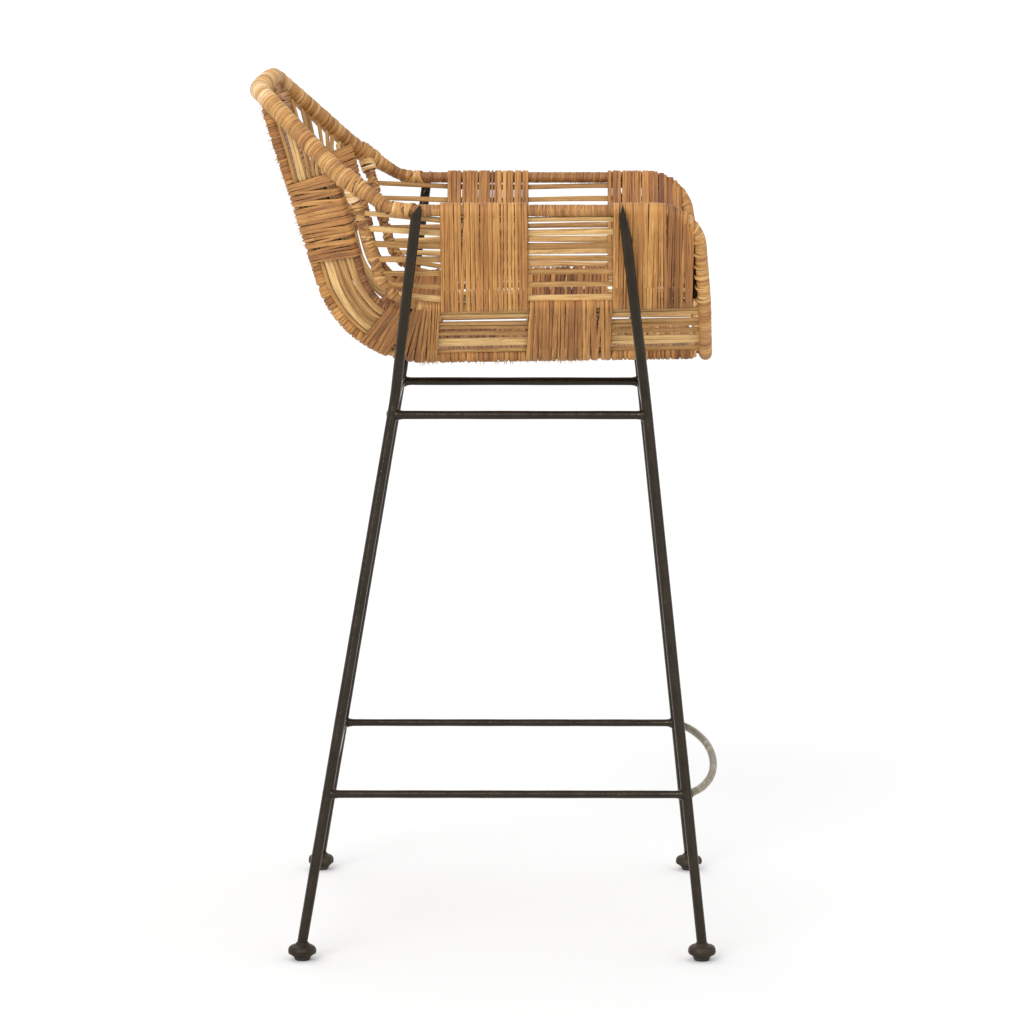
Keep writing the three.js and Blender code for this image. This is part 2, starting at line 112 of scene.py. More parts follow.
class Graph:
    """A material's node tree, with a short call for each kind of node that the finishes use."""

    def __init__(self, name: str) -> None:
        """Start an empty material.

        Args:
            name: The material's name.
        """
        self.material = bpy.data.materials.new(name)
        self.material.use_nodes = True
        self.tree = self.material.node_tree
        self.tree.nodes.clear()
        self.shader = self.tree.nodes.new("ShaderNodeBsdfPrincipled")
        output = self.tree.nodes.new("ShaderNodeOutputMaterial")
        self.tree.links.new(self.shader.outputs["BSDF"], output.inputs["Surface"])

    def put(self, socket: bpy.types.NodeSocket, value: object) -> None:
        """Link an output to a socket, or set the socket's own value.

        Args:
            socket: The input socket.
            value: An output socket, a number, or a tuple of numbers.
        """
        if isinstance(value, bpy.types.NodeSocket):
            self.tree.links.new(value, socket)
        else:
            socket.default_value = value

    def position(self) -> bpy.types.NodeSocket:
        """The surface point in the row frame."""
        return self.tree.nodes.new("ShaderNodeTexCoord").outputs["Object"]

    def strip_map(self) -> bpy.types.NodeSocket:
        """The piece's own map, which runs along its strips and then across them, in metres.

        Returns:
            The map's output.
        """
        node = self.tree.nodes.new("ShaderNodeUVMap")
        node.uv_map = STRIP_MAP
        return node.outputs["UV"]

    def attribute(self, name: str) -> bpy.types.NodeSocket:
        """A number that the piece's mesh holds at each vertex.

        Args:
            name: The attribute's name.

        Returns:
            The attribute's factor output.
        """
        node = self.tree.nodes.new("ShaderNodeAttribute")
        node.attribute_name = name
        return node.outputs["Fac"]

    def math(self, operation: str, a: object, b: object = 0.0) -> bpy.types.NodeSocket:
        """Work out one sum of two numbers.

        Args:
            operation: The operation's name.
            a: The first number or output.
            b: The second number or output.

        Returns:
            The result's output.
        """
        node = self.tree.nodes.new("ShaderNodeMath")
        node.operation = operation
        self.put(node.inputs[0], a)
        self.put(node.inputs[1], b)
        return node.outputs[0]

    def stretch(self, vector: object, scale: Cells) -> bpy.types.NodeSocket:
        """Scale a coordinate, so that a pattern comes out longer one way than the other.

        Args:
            vector: The coordinate to scale.
            scale: Pattern cells in a metre along each axis.

        Returns:
            The scaled coordinate.
        """
        node = self.tree.nodes.new("ShaderNodeMapping")
        self.put(node.inputs["Vector"], vector)
        node.inputs["Scale"].default_value = scale
        return node.outputs["Vector"]

    def with_third(self, vector: object, third: object) -> bpy.types.NodeSocket:
        """Replace a coordinate's third number.

        Args:
            vector: The coordinate.
            third: The number to put in its third place.

        Returns:
            The new coordinate.
        """
        parts = self.tree.nodes.new("ShaderNodeSeparateXYZ")
        self.put(parts.inputs[0], vector)
        joined = self.tree.nodes.new("ShaderNodeCombineXYZ")
        self.put(joined.inputs[0], parts.outputs[0])
        self.put(joined.inputs[1], parts.outputs[1])
        self.put(joined.inputs[2], third)
        return joined.outputs[0]

    def noise(
        self, vector: object, scale: float, detail: float = 3.0, roughness: float = 0.55
    ) -> bpy.types.NodeSocket:
        """Soft random patches.

        Args:
            vector: The coordinate that the patches lie in.
            scale: How many patches there are to each unit of the coordinate.
            detail: Octaves of finer patches.
            roughness: How strong the finer patches are.

        Returns:
            The noise factor.
        """
        node = self.tree.nodes.new("ShaderNodeTexNoise")
        self.put(node.inputs["Vector"], vector)
        node.inputs["Scale"].default_value = scale
        node.inputs["Detail"].default_value = detail
        node.inputs["Roughness"].default_value = roughness
        return node.outputs["Fac"]

    def grain(
        self, vector: object, cells: Cells, detail: float = 3.0, roughness: float = 0.6
    ) -> bpy.types.NodeSocket:
        """Soft random patches that are longer one way than the other.

        Args:
            vector: The coordinate that the patches lie in.
            cells: Patches in a metre along each axis.
            detail: Octaves of finer patches.
            roughness: How strong the finer patches are.

        Returns:
            The noise factor.
        """
        return self.noise(self.stretch(vector, cells), 1.0, detail, roughness)

    def ramp(self, factor: object, stops: Stops) -> bpy.types.NodeSocket:
        """Turn a factor into a colour.

        Args:
            factor: The factor.
            stops: Pairs of a place from 0 to 1 and a linear colour.

        Returns:
            The colour output.
        """
        node = self.tree.nodes.new("ShaderNodeValToRGB")
        self.put(node.inputs["Fac"], factor)
        elements = node.color_ramp.elements
        while len(elements) < len(stops):
            elements.new(0.5)
        for element, (place, colour) in zip(elements, stops):
            element.position = place
            element.color = (*colour, 1.0)
        return node.outputs["Color"]

    def remap(
        self, value: object, low: float, high: float, to_low: float, to_high: float
    ) -> bpy.types.NodeSocket:
        """Carry a number from one range to another, clamped.

        Args:
            value: The number.
            low: Where the first range starts.
            high: Where the first range ends.
            to_low: Where the new range starts.
            to_high: Where the new range ends.

        Returns:
            The new number's output.
        """
        node = self.tree.nodes.new("ShaderNodeMapRange")
        for socket, number in zip(node.inputs, (value, low, high, to_low, to_high)):
            self.put(socket, number)
        return node.outputs[0]

    def mix(
        self, factor: object, a: object, b: object, blend: str = "MIX"
    ) -> bpy.types.NodeSocket:
        """Mix two colours.

        Args:
            factor: How much of the second there is.
            a: The first colour.
            b: The second colour.
            blend: The blend type's name.

        Returns:
            The mixed colour's output.
        """
        node = self.tree.nodes.new("ShaderNodeMix")
        node.data_type = "RGBA"
        node.blend_type = blend
        self.put(node.inputs[0], factor)
        for socket, value in ((node.inputs[6], a), (node.inputs[7], b)):
            self.put(socket, (*value, 1.0) if isinstance(value, tuple) else value)
        return node.outputs[2]

    def bump(self, height: object, depth: float, strength: float = 1.0) -> None:
        """Give the shader a bump.

        Args:
            height: The height pattern, from 0 to 1.
            depth: The pattern's depth in metres.
            strength: How much of it shows.
        """
        node = self.tree.nodes.new("ShaderNodeBump")
        self.put(node.inputs["Height"], height)
        node.inputs["Distance"].default_value = depth
        node.inputs["Strength"].default_value = strength
        self.tree.links.new(node.outputs["Normal"], self.shader.inputs["Normal"])


@dataclass(frozen=True)
class CaneFinish:
    """Split cane or rattan skin, whose fibres, stains and tone follow each strip.

    The tones run from the darkest strip to the palest. Each strip's own tone comes from its mesh.
    Cells are how many patches of a pattern there are in a metre along and across a strip.
    Shade is painted into the seams between strips and along their rounded edges, in a dark colour
    that the short dashes also use.
    """

    name: str
    tones: Stops
    stain: Colour
    seam: Colour
    fibre_cells: Cells = (28.0, 1500.0, 1.0)
    fibre_colours: Stops = (
        (0.34, (0.52, 0.42, 0.34)),
        (0.52, (1.0, 1.0, 1.0)),
        (0.72, (1.16, 1.14, 1.1)),
    )
    fibre_depth: float = 0.00025
    streak_cells: Cells = (9.0, 420.0, 1.0)
    streak_swing: float = 0.24
    blotch_cells: Cells = (22.0, 70.0, 1.0)
    weather_scale: float = 14.0
    weather_swing: float = 0.1
    dash_cells: Cells = (75.0, 900.0, 1.0)
    dash_strength: float = 0.5
    seam_from: float = 0.35
    seam_strength: float = 0.85
    stain_share: float = 0.5
    strip_shift: float = 37.0
    roughness: tuple[float, float] = (0.42, 0.62)
    gloss: float = 0.35

    def material(self) -> bpy.types.Material:
        """Build the node tree.

        Returns:
            The finished material.
        """
        graph = Graph(self.name)
        tone = graph.attribute(TONE)
        shift = graph.math("MULTIPLY", tone, self.strip_shift)
        along = graph.with_third(graph.strip_map(), shift)
        fibres = graph.grain(along, self.fibre_cells, 4.0)
        streaks = graph.grain(along, self.streak_cells)
        blotches = graph.grain(along, self.blotch_cells)
        weather = graph.noise(graph.position(), self.weather_scale, 2.0, 0.5)
        shade = tone
        for pattern, swing in ((streaks, self.streak_swing), (weather, self.weather_swing)):
            shade = graph.math("ADD", shade, graph.remap(pattern, 0.3, 0.7, -swing, swing))
        stained = graph.remap(blotches, 0.54, 0.78, 0.0, self.stain_share)
        colour = graph.mix(stained, graph.ramp(shade, self.tones), self.stain)
        colour = graph.mix(1.0, colour, graph.ramp(fibres, self.fibre_colours), "MULTIPLY")
        dashes = graph.grain(along, self.dash_cells, 2.0, 0.5)
        dashed = graph.remap(dashes, 0.62, 0.7, 0.0, self.dash_strength)
        colour = graph.mix(dashed, colour, self.seam)
        # Painted shade: each strip darkens towards its edges and in the seams beside it.
        seam = graph.remap(graph.attribute(SEAM_SHADE), self.seam_from, 1.0, 0.0, self.seam_strength)
        colour = graph.mix(seam, colour, self.seam)
        graph.put(graph.shader.inputs["Base Color"], colour)
        rough = graph.remap(fibres, 0.3, 0.7, self.roughness[1], self.roughness[0])
        graph.put(graph.shader.inputs["Roughness"], rough)
        graph.put(graph.shader.inputs["Specular IOR Level"], self.gloss)
        graph.bump(fibres, self.fibre_depth)
        return graph.material


@dataclass(frozen=True)
class SteelFinish:
    """Steel rod with a thin dark coat, rubbed bare where feet and hands reach it.

    Scales are how many patches of a pattern there are in a metre.
    """

    name: str
    coat: Colour
    dust: Colour
    bare: Colour
    bare_from: float
    bare_blend: float = 0.06
    metallic: float = 0.55
    roughness: tuple[float, float] = (0.3, 0.5)
    patch_scale: float = 38.0
    speck_scale: float = 420.0
    hammer_scale: float = 95.0
    ripple: float = 0.0005
    gloss: float = 0.5
    sheen: Colour = (1.0, 0.88, 0.72)

    def material(self) -> bpy.types.Material:
        """Build the node tree.

        Returns:
            The finished material.
        """
        graph = Graph(self.name)
        surface = graph.position()
        patches = graph.noise(surface, self.patch_scale, 4.0, 0.6)
        specks = graph.noise(surface, self.speck_scale, 3.0, 0.6)
        hammered = graph.noise(surface, self.hammer_scale, 2.0, 0.5)
        colour = graph.mix(graph.remap(patches, 0.35, 0.7, 0.0, 1.0), self.coat, self.dust)
        wear = graph.math(
            "ADD", graph.math("MULTIPLY", patches, 0.6), graph.math("MULTIPLY", specks, 0.4)
        )
        worn = graph.remap(wear, self.bare_from, self.bare_from + self.bare_blend, 0.0, 1.0)
        rough = graph.remap(patches, 0.3, 0.7, *self.roughness)
        for name, value in (
            ("Base Color", graph.mix(worn, colour, self.bare)),
            ("Metallic", self.metallic),
            ("Specular IOR Level", self.gloss),
            ("Specular Tint", (*self.sheen, 1.0)),
            ("Roughness", rough),
        ):
            graph.put(graph.shader.inputs[name], value)
        graph.bump(graph.math("ADD", hammered, graph.math("MULTIPLY", specks, 0.15)), self.ripple)
        return graph.material


@dataclass(frozen=True)
class RubberFinish:
    """Moulded black rubber with a grain and floor dust."""

    name: str
    rubber: Colour
    dust: Colour
    grain_scale: float = 900.0
    grain_depth: float = 0.0002
    dust_scale: float = 60.0

    def material(self) -> bpy.types.Material:
        """Build the node tree.

        Returns:
            The finished material.
        """
        graph = Graph(self.name)
        grain = graph.noise(graph.position(), self.grain_scale, 3.0, 0.6)
        patches = graph.noise(graph.position(), self.dust_scale, 3.0, 0.6)
        dusty = graph.remap(patches, 0.45, 0.75, 0.0, 0.6)
        graph.put(graph.shader.inputs["Base Color"], graph.mix(dusty, self.rubber, self.dust))
        graph.put(graph.shader.inputs["Roughness"], graph.remap(grain, 0.3, 0.7, 0.65, 0.9))
        graph.bump(grain, self.grain_depth)
        return graph.material


Finish = CaneFinish | SteelFinish | RubberFinish

DENSE_CANE = CaneFinish(
    name="split_cane_golden",
    tones=(
        (0.0, (0.15, 0.053, 0.016)),
        (0.3, (0.29, 0.121, 0.034)),
        (0.65, (0.43, 0.196, 0.052)),
        (1.0, (0.6, 0.315, 0.094)),
    ),
    stain=(0.24, 0.085, 0.024),
    # Darkest colour: painted shade in the seams between strips, and the short dashes.
    seam=(0.06, 0.02, 0.007),
    seam_from=0.42,
    seam_strength=0.92,
)
# Nearly black cane, used only as painted shade in the slot between the front bay and the rim's
# upright.
SLOT_SHADE_CANE = CaneFinish(
    name="cane_charred",
    tones=((0.0, (0.012, 0.006, 0.003)), (1.0, (0.03, 0.014, 0.006))),
    stain=(0.02, 0.01, 0.004),
    seam=(0.008, 0.004, 0.002),
    gloss=0.1,
)
OPEN_CANE = CaneFinish(
    name="split_cane_tan",
    tones=(
        (0.0, (0.2, 0.094, 0.028)),
        (0.4, (0.37, 0.194, 0.059)),
        (0.75, (0.53, 0.305, 0.104)),
        (1.0, (0.7, 0.46, 0.19)),
    ),
    stain=(0.22, 0.1, 0.03),
    # Darkest colour: painted shade in the seams between rods, and the short dashes.
    seam=(0.12, 0.05, 0.016),
    seam_strength=0.7,
)
BINDING_CANE = CaneFinish(
    name="cane_binding",
    tones=(
        (0.0, (0.2, 0.078, 0.022)),
        (0.3, (0.35, 0.158, 0.04)),
        (0.62, (0.52, 0.275, 0.08)),
        (0.85, (0.7, 0.45, 0.19)),
        # The palest stop is here for the painted highlight on the crown.
        (1.0, (0.84, 0.69, 0.5)),
    ),
    stain=(0.27, 0.105, 0.03),
    # Darkest colour: painted shade in the dips between turns, and the short dashes.
    seam=(0.09, 0.034, 0.01),
    seam_from=0.55,
    seam_strength=0.6,
    stain_share=0.6,
    gloss=0.45,
)
FRAME_STEEL = SteelFinish(
    name="coated_steel",
    coat=(0.012, 0.009, 0.006),
    dust=(0.022, 0.017, 0.0115),
    bare=(0.13, 0.11, 0.08),
    bare_from=0.64,
    metallic=0.4,
    gloss=0.45,
    roughness=(0.15, 0.3),
)
FOOTREST_STEEL = SteelFinish(
    name="rubbed_steel",
    coat=(0.085, 0.075, 0.055),
    dust=(0.18, 0.165, 0.13),
    bare=(0.36, 0.34, 0.3),
    bare_from=0.54,
    metallic=0.6,
    roughness=(0.26, 0.42),
)
FOOT_STEEL = SteelFinish(
    name="cast_foot_bronze",
    coat=(0.014, 0.01, 0.007),
    dust=(0.045, 0.035, 0.025),
    bare=(0.13, 0.105, 0.08),
    bare_from=0.62,
    metallic=0.4,
    gloss=0.38,
    roughness=(0.4, 0.6),
    ripple=0.0012,
)
PAD_RUBBER = RubberFinish(
    name="foot_pad_rubber", rubber=(0.018, 0.014, 0.011), dust=(0.07, 0.06, 0.05)
)


class Paintshop:
    """Keeps one material for each finish and dresses finished pieces in them."""

    def __init__(self) -> None:
        """Start with no material made."""
        self._made: dict[str, bpy.types.Material] = {}

    def dress(
        self, piece: bpy.types.Object, finish: Finish, slot: Slot, nodes: Iterable[str] = ()
    ) -> None:
        """Give a piece its finish and its body, and hide the CAD nodes that it stands for.

        Args:
            piece: The finished piece.
            finish: Its finish.
            slot: The record's slot that the finish belongs to; not used.
            nodes: The CAD nodes that the piece stands for.
        """
        if finish.name not in self._made:
            self._made[finish.name] = finish.material()
        piece.data.materials.clear()
        piece.data.materials.append(self._made[finish.name])
        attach(piece, "root")
        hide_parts(*nodes)
        triangles = sum(len(polygon.vertices) - 2 for polygon in piece.data.polygons)
        log.info("%s: %d triangles, %s", piece.name, triangles, finish.name)


# ---------------------------------------------------------------- lines in space


def clamp(number: float, low: float = 0.0, high: float = 1.0) -> float:
    """The nearest number in a range."""
    return min(max(number, low), high)


def shares(count: int) -> list[float]:
    """Evenly spread shares from 0 to 1."""
    return [i / (count - 1) for i in range(count)]


def steps_between(start: float, stop: float, count: int) -> list[float]:
    """Evenly spread numbers from start to stop, with count gaps between them."""
    return [start + (stop - start) * i / count for i in range(count + 1)]


def place(numbers: Sequence[float], side: Side = Side.LEFT) -> Vector:
    """A point given as half width, y and z, put on one side.

    Args:
        numbers: The half width, y and z.
        side: The side of the stool.

    Returns:
        The point.
    """
    x, y, z = numbers
    return Vector((x * side.value, y, z))


def corner_arc(
    before: Vector, corner: Vector, after: Vector, radius: float
) -> Callable[[float], Vector]:
    """The arc that rounds a corner.

    Args:
        before: The point that the line comes from.
        corner: The sharp corner.
        after: The point that the line goes on to.
        radius: The arc's radius.

    Returns:
        A function from a share of the turn to a point.
    """
    back = (before - corner).normalized()
    onward = (after - corner).normalized()
    half = back.angle(onward) / 2
    middle = corner + (back + onward).normalized() * radius / math.sin(half)
    spoke = corner + back * radius / math.tan(half) - middle
    axis = spoke.cross(corner + onward * radius / math.tan(half) - middle).normalized()
    turn = math.pi - 2 * half
    return lambda share: middle + Matrix.Rotation(share * turn, 3, axis) @ spoke


def rounded_line(stops: Sequence[Vector], radii: Sequence[float], steps: int) -> list[Vector]:
    """A line through corners that are rounded.

    Args:
        stops: The start, the corners and the end.
        radii: Each corner's radius.
        steps: Chords in each corner.

    Returns:
        The points of the line.
    """
    points = [stops[0]]
    for before, corner, after, radius in zip(stops, stops[1:], stops[2:], radii):
        arc = corner_arc(before, corner, after, radius)
        points += [arc(k / steps) for k in range(steps + 1)]
    return [*points, stops[-1]]


class Line:
    """A line in space that is asked for places by their distance from its start."""

    def __init__(self, points: Sequence[Vector]) -> None:
        """Measure the line.

        Args:
            points: The points that it runs through.
        """
        steps = zip(points, points[1:])
        self.points = [points[0], *(b for a, b in steps if (b - a).length > 1e-6)]
        self.reach = [0.0]
        for a, b in zip(self.points, self.points[1:]):
            self.reach.append(self.reach[-1] + (b - a).length)

    @property
    def length(self) -> float:
        """The line's length."""
        return self.reach[-1]

    def at(self, distance: float) -> Vector:
        """The place at a distance from the start.

        Args:
            distance: The distance, which is kept on the line.

        Returns:
            The point.
        """
        distance = clamp(distance, 0.0, self.length)
        i = next(i for i in range(1, len(self.reach)) if distance <= self.reach[i] + 1e-9)
        share = (distance - self.reach[i - 1]) / (self.reach[i] - self.reach[i - 1])
        return self.points[i - 1].lerp(self.points[i], min(share, 1.0))

    def heading(self, distance: float) -> Vector:
        """The direction of travel, smoothed over a centimetre."""
        return (self.at(distance + 0.005) - self.at(distance - 0.005)).normalized()

    def nearest(self, miss: Callable[[Vector], float]) -> float:
        """The distance, to a millimetre, of the place that suits best.

        Args:
            miss: How badly a point suits.

        Returns:
            The distance from the start.
        """
        distances = (i * 0.001 for i in range(int(self.length * 1000)))
        return min(distances, key=lambda distance: miss(self.at(distance)))


@dataclass(frozen=True)
class PoleRoute:
    """A pole that runs back along the seat, round its bend and up the back.

    A station counts 0 to 1 along the seat, 1 to 2 round the bend, 2 to 3 up to the shoulder, and 3
    to 4 up to the top.
    """

    radius: float
    front: Place
    corner: Place
    top: Place
    bend: float
    side: Side = Side.LEFT
    shoulder: float = 0.893

    def on(self, side: Side) -> "PoleRoute":
        """The same pole on a side of the stool."""
        return replace(self, side=side)

    def at(self, station: float) -> Vector:
        """The pole's centre at a station.

        Args:
            station: From 0 at the front to 4 at the top.

        Returns:
            The point.
        """
        front, corner, top = (place(p, self.side) for p in (self.front, self.corner, self.top))
        arc = corner_arc(front, corner, top, self.bend)
        shoulder = corner.lerp(top, (self.shoulder - corner.z) / (top.z - corner.z))
        if station < 1:
            return front.lerp(arc(0.0), station)
        if station < 2:
            return arc(station - 1)
        if station < 3:
            return arc(1.0).lerp(shoulder, station - 2)
        return shoulder.lerp(top, station - 3)

    def heading(self, station: float) -> Vector:
        """The pole's direction at a station."""
        return (self.at(station + 0.02) - self.at(station - 0.02)).normalized()

    def girth(self, station: float) -> float:
        """The pole's radius, which is the same at every station."""
        return self.radius

    def line(self) -> Line:
        """The whole centre line."""
        return Line([self.at(s) for s in (0.0, *steps_between(1.0, 2.0, 16), 3.0, 4.0)])


# ---------------------------------------------------------------- cane


@dataclass(frozen=True)
class StripShape:
    """The section of a cane strip: flat underneath, crowned on top, with worn edges."""

    thickness: float = 0.0009
    crown: float = 0.0004

    def section(self, width: float) -> list[tuple[float, float, float]]:
        """The section's corners.

        Args:
            width: The strip's width.

        Returns:
            Triples of the distance across, the height, and the painted shade at the corner, which
            is deepest at the strip's edges.
        """
        half = width / 2
        return [
            (-half, 0.0, 1.0),
            (-half * 0.86, self.thickness, 0.5),
            (0.0, self.thickness + self.crown, 0.0),
            (half * 0.86, self.thickness, 0.5),
            (half, 0.0, 1.0),
        ]


@dataclass(frozen=True)
class RodShape(StripShape):
    """The section of a flat rod, crowned on both faces."""

    thickness: float = 0.0024
    crown: float = 0.0007

    def section(self, width: float) -> list[tuple[float, float, float]]:
        """The section's corners, right round the rod.

        Args:
            width: The rod's width.

        Returns:
            Triples of the distance across, the height, and the painted shade at the corner, which
            is deepest at the rod's edges.
        """
        half = width / 2
        return [
            (-half, self.thickness * 0.3, 0.9),
            (-half * 0.8, self.thickness, 0.25),
            (0.0, self.thickness + self.crown, 0.0),
            (half * 0.8, self.thickness, 0.3),
            (half, self.thickness * 0.3, 1.0),
            (half * 0.8, 0.0, 0.3),
            (0.0, -self.crown, 0.0),
            (-half * 0.8, 0.0, 0.25),
        ]


class Weave:
    """Collects the strips of one woven piece, and makes them one mesh."""

    def __init__(self, name: str) -> None:
        """Start an empty piece.

        Args:
            name: The piece's name.
        """
        self.name = name
        self.points: list[Vector] = []
        self.faces: list[tuple[int, ...]] = []
        self.maps: list[tuple[tuple[float, float], ...]] = []
        self.tones: list[float] = []
        self.edges: list[float] = []

    def ring(self, corners: Iterable[tuple[Vector, float]], tone: float) -> list[int]:
        """Add one ring of vertices.

        Args:
            corners: Each corner's point and its painted shade, deepest in the seams between strips.
            tone: The strip's tone.

        Returns:
            The new vertices' numbers.
        """
        first = len(self.points)
        for point, edge in corners:
            self.points.append(point)
            self.tones.append(tone)
            self.edges.append(edge)
        return list(range(first, len(self.points)))

    def skin(
        self,
        rings: Sequence[list[int]],
        spans: Sequence[float],
        girths: Sequence[float],
        closed: bool,
        across_first: bool = False,
    ) -> None:
        """Join rings of vertices by faces, and close the ends.

        Args:
            rings: The rings, in order along the strip.
            spans: Each ring's distance along the strip, with one more if the strip is closed.
            girths: Each corner's distance round the section, with one more for the way back.
            closed: Whether the last ring joins the first.
            across_first: Whether the fibres run round the section and not along the rings.
        """
        count = len(rings[0])
        pairs = list(zip(rings, rings[1:])) + ([(rings[-1], rings[0])] if closed else [])
        for step, (a, b) in enumerate(pairs):
            for j in range(count):
                k = (j + 1) % count
                self.faces.append((a[j], a[k], b[k], b[j]))
                corners = (
                    (spans[step], girths[j]),
                    (spans[step], girths[j + 1]),
                    (spans[step + 1], girths[j + 1]),
                    (spans[step + 1], girths[j]),
                )
                self.maps.append(tuple((v, u) for u, v in corners) if across_first else corners)
        if not closed:
            for ring, span, order in ((rings[0], spans[0], -1), (rings[-1], spans[-1], 1)):
                self.faces.append(tuple(ring[::order]))
                self.maps.append(tuple((span, girths[j]) for j in range(count))[::order])

    def strip(
        self,
        path: Sequence[Vector],
        outs: Sequence[Vector],
        width: float,
        tone: float,
        closed: bool = False,
        shape: StripShape = StripShape(),
        taper: Sequence[float] = (),
    ) -> None:
        """Lay one strip of cane.

        Args:
            path: The middle of the strip's underside.
            outs: The direction that its top faces at each point.
            width: Its width.
            tone: Its tone, from 0, dark, to 1, pale.
            closed: Whether it is a closed loop.
            shape: The strip's section.
            taper: The share of the width at each point, where it changes.
        """
        section = shape.section(width)
        rings, spans, travelled = [], [], 0.0
        count = len(path)
        for i, (point, out) in enumerate(zip(path, outs)):
            before = path[i - 1] if i or closed else point
            after = path[(i + 1) % count] if i < count - 1 or closed else point
            along = (after - before).normalized()
            across = along.cross(out).normalized()
            top = across.cross(along)
            share = taper[i] if taper else 1.0
            if i:
                travelled += (point - path[i - 1]).length
            spans.append(travelled)
            corners = [(point + across * a * share + top * h, e) for a, h, e in section]
            rings.append(self.ring(corners, tone))
        if closed:
            spans.append(travelled + (path[0] - path[-1]).length)
        girths = [0.0]
        for (a, h, _), (b, g, _) in zip(section, [*section[1:], section[0]]):
            girths.append(girths[-1] + math.hypot(b - a, g - h))
        start = tone * 0.37
        self.skin(rings, [start + span for span in spans], girths, closed)

    def make(self, flat_angle: float = 50.0) -> bpy.types.Object:
        """Make the piece.

        Args:
            flat_angle: Edges sharper than this many degrees stay sharp.

        Returns:
            The mesh object, at the origin.
        """
        mesh = bpy.data.meshes.new(self.name)
        mesh.from_pydata([tuple(p) for p in self.points], [], self.faces)
        strip_map = mesh.uv_layers.new(name=STRIP_MAP)
        flat = [number for corners in self.maps for pair in corners for number in pair]
        strip_map.data.foreach_set("uv", flat)
        for name, values in ((TONE, self.tones), (SEAM_SHADE, self.edges)):
            mesh.attributes.new(name, "FLOAT", "POINT").data.foreach_set("value", values)
        mesh.update()
        piece = bpy.data.objects.new(self.name, mesh)
        bpy.context.scene.collection.objects.link(piece)
        Bench.pick(piece)
        bpy.ops.object.mode_set(mode="EDIT")
        bpy.ops.mesh.select_all(action="SELECT")
        bpy.ops.mesh.normals_make_consistent(inside=False)
        bpy.ops.object.mode_set(mode="OBJECT")
        bpy.ops.object.shade_smooth_by_angle(angle=math.radians(flat_angle))
        return piece


@dataclass(frozen=True)
class Ring:
    """A place for one leaning turn of cane round a pole."""

    centre: Vector
    axis: Vector
    radius: float
    steps: int = 12

    def lay(self, weave: Weave, width: float, tone: float, lean: float, spin: float) -> None:
        """Lay the turn.

        Args:
            weave: The piece that it is added to.
            width: The strip's width.
            tone: Its tone.
            lean: How far its plane leans, in radians.
            spin: Which way it leans, in radians about the pole.
        """
        u = self.axis.orthogonal().normalized()
        v = self.axis.cross(u)
        path, outs = [], []
        for i in range(self.steps):
            angle = 2 * math.pi * i / self.steps
            spoke = u * math.cos(angle) + v * math.sin(angle)
            slip = self.axis * self.radius * math.tan(lean) * math.cos(angle - spin)
            path.append(self.centre + spoke * self.radius + slip)
            outs.append(spoke)
        weave.strip(path, outs, width, tone, closed=True)


@dataclass(frozen=True)
class Binding:
    """Cane wound round a pole in close turns, each lapped a little over the one before.

    Lap is how far a turn stands up, groove how deep the dip before it is, wander how uneven the
    turns are, tilt how much they lean, and tone their mean and how far they stray from it. The
    edges and the uneven widths are shares of the pitch. The dips between turns get painted shade.
    """

    pitch: float = 0.0046
    groove: float = 0.00035
    lap: float = 0.0003
    wander: float = 0.00022
    sides: int = 14
    tilt: float = 0.16
    tone: tuple[float, float] = (0.5, 0.2)
    near_edge: float = 0.16
    far_edge: float = 0.88
    uneven: tuple[float, float] = (0.72, 1.3)

    def wind(
        self,
        weave: Weave,
        line: Line,
        girth: Callable[[float], float],
        rng: random.Random,
        shade: Callable[[Vector], float] = lambda point: 0.0,
    ) -> None:
        """Wind the binding along a line and close its ends.

        Args:
            weave: The piece that the turns are added to.
            line: The pole's centre line.
            girth: The bound pole's radius at a distance along the line.
            rng: The piece's own random numbers.
            shade: What to add to the tone at a point.
        """
        rows = self._rows(line.length, rng)
        normal = line.heading(0.0).orthogonal().normalized()
        rings, spans = [], []
        for distance, lift, tone, edge, lean in rows:
            heading = line.heading(distance)
            normal = (normal - heading * normal.dot(heading)).normalized()
            side = heading.cross(normal)
            radius = girth(distance) + lift
            centre = line.at(distance)
            corners = []
            room = min(distance, line.length - distance) / max(radius, 1e-6)
            tilt = min(self.tilt * (1 + lean), room)
            for j in range(self.sides):
                angle = 2 * math.pi * j / self.sides
                spoke = normal * math.cos(angle) + side * math.sin(angle)
                slip = tilt * radius * math.cos(angle + lean * 2)
                corners.append((centre + spoke * radius + heading * slip, edge))
            rings.append(weave.ring(corners, clamp(tone + shade(centre))))
            spans.append(distance)
        radius = girth(line.length / 2)
        girths = [2 * math.pi * radius * j / self.sides for j in range(self.sides + 1)]
        weave.skin(rings, spans, girths, closed=False, across_first=True)

    def _rows(self, length: float, rng: random.Random) -> list[tuple[float, ...]]:
        """Plan the rings of vertices: for each turn, the dip before it, its raised edge and its far
        edge.

        Args:
            length: The pole's length.
            rng: The piece's own random numbers.

        Returns:
            Each ring's distance, lift, tone, painted shade, deepest in the dips, and lean.
        """
        rows, distance = [], 0.0
        mean, spread = self.tone
        while distance < length - self.pitch * 0.6:
            pitch = self.pitch * rng.uniform(*self.uneven)
            lift = rng.uniform(-self.wander, self.wander)
            tone = mean + rng.uniform(-spread, spread)
            lean = rng.uniform(-0.35, 0.35)
            groove = -self.groove * rng.uniform(0.4, 1.6)
            # The dip before each turn gets the most painted shade.
            rows.append((distance, groove, tone, rng.uniform(0.45, 1.0), lean))
            rows.append((distance + pitch * self.near_edge, self.lap + lift, tone, 0.15, lean))
            rows.append((distance + pitch * self.far_edge, lift, tone, 0.25, lean))
            distance += pitch
        rows = [row for row in rows if row[0] < length - self.pitch * 0.2]
        return [*rows, (length, -self.groove, mean, 0.6, 0.0)]


# ---------------------------------------------------------------- steel work


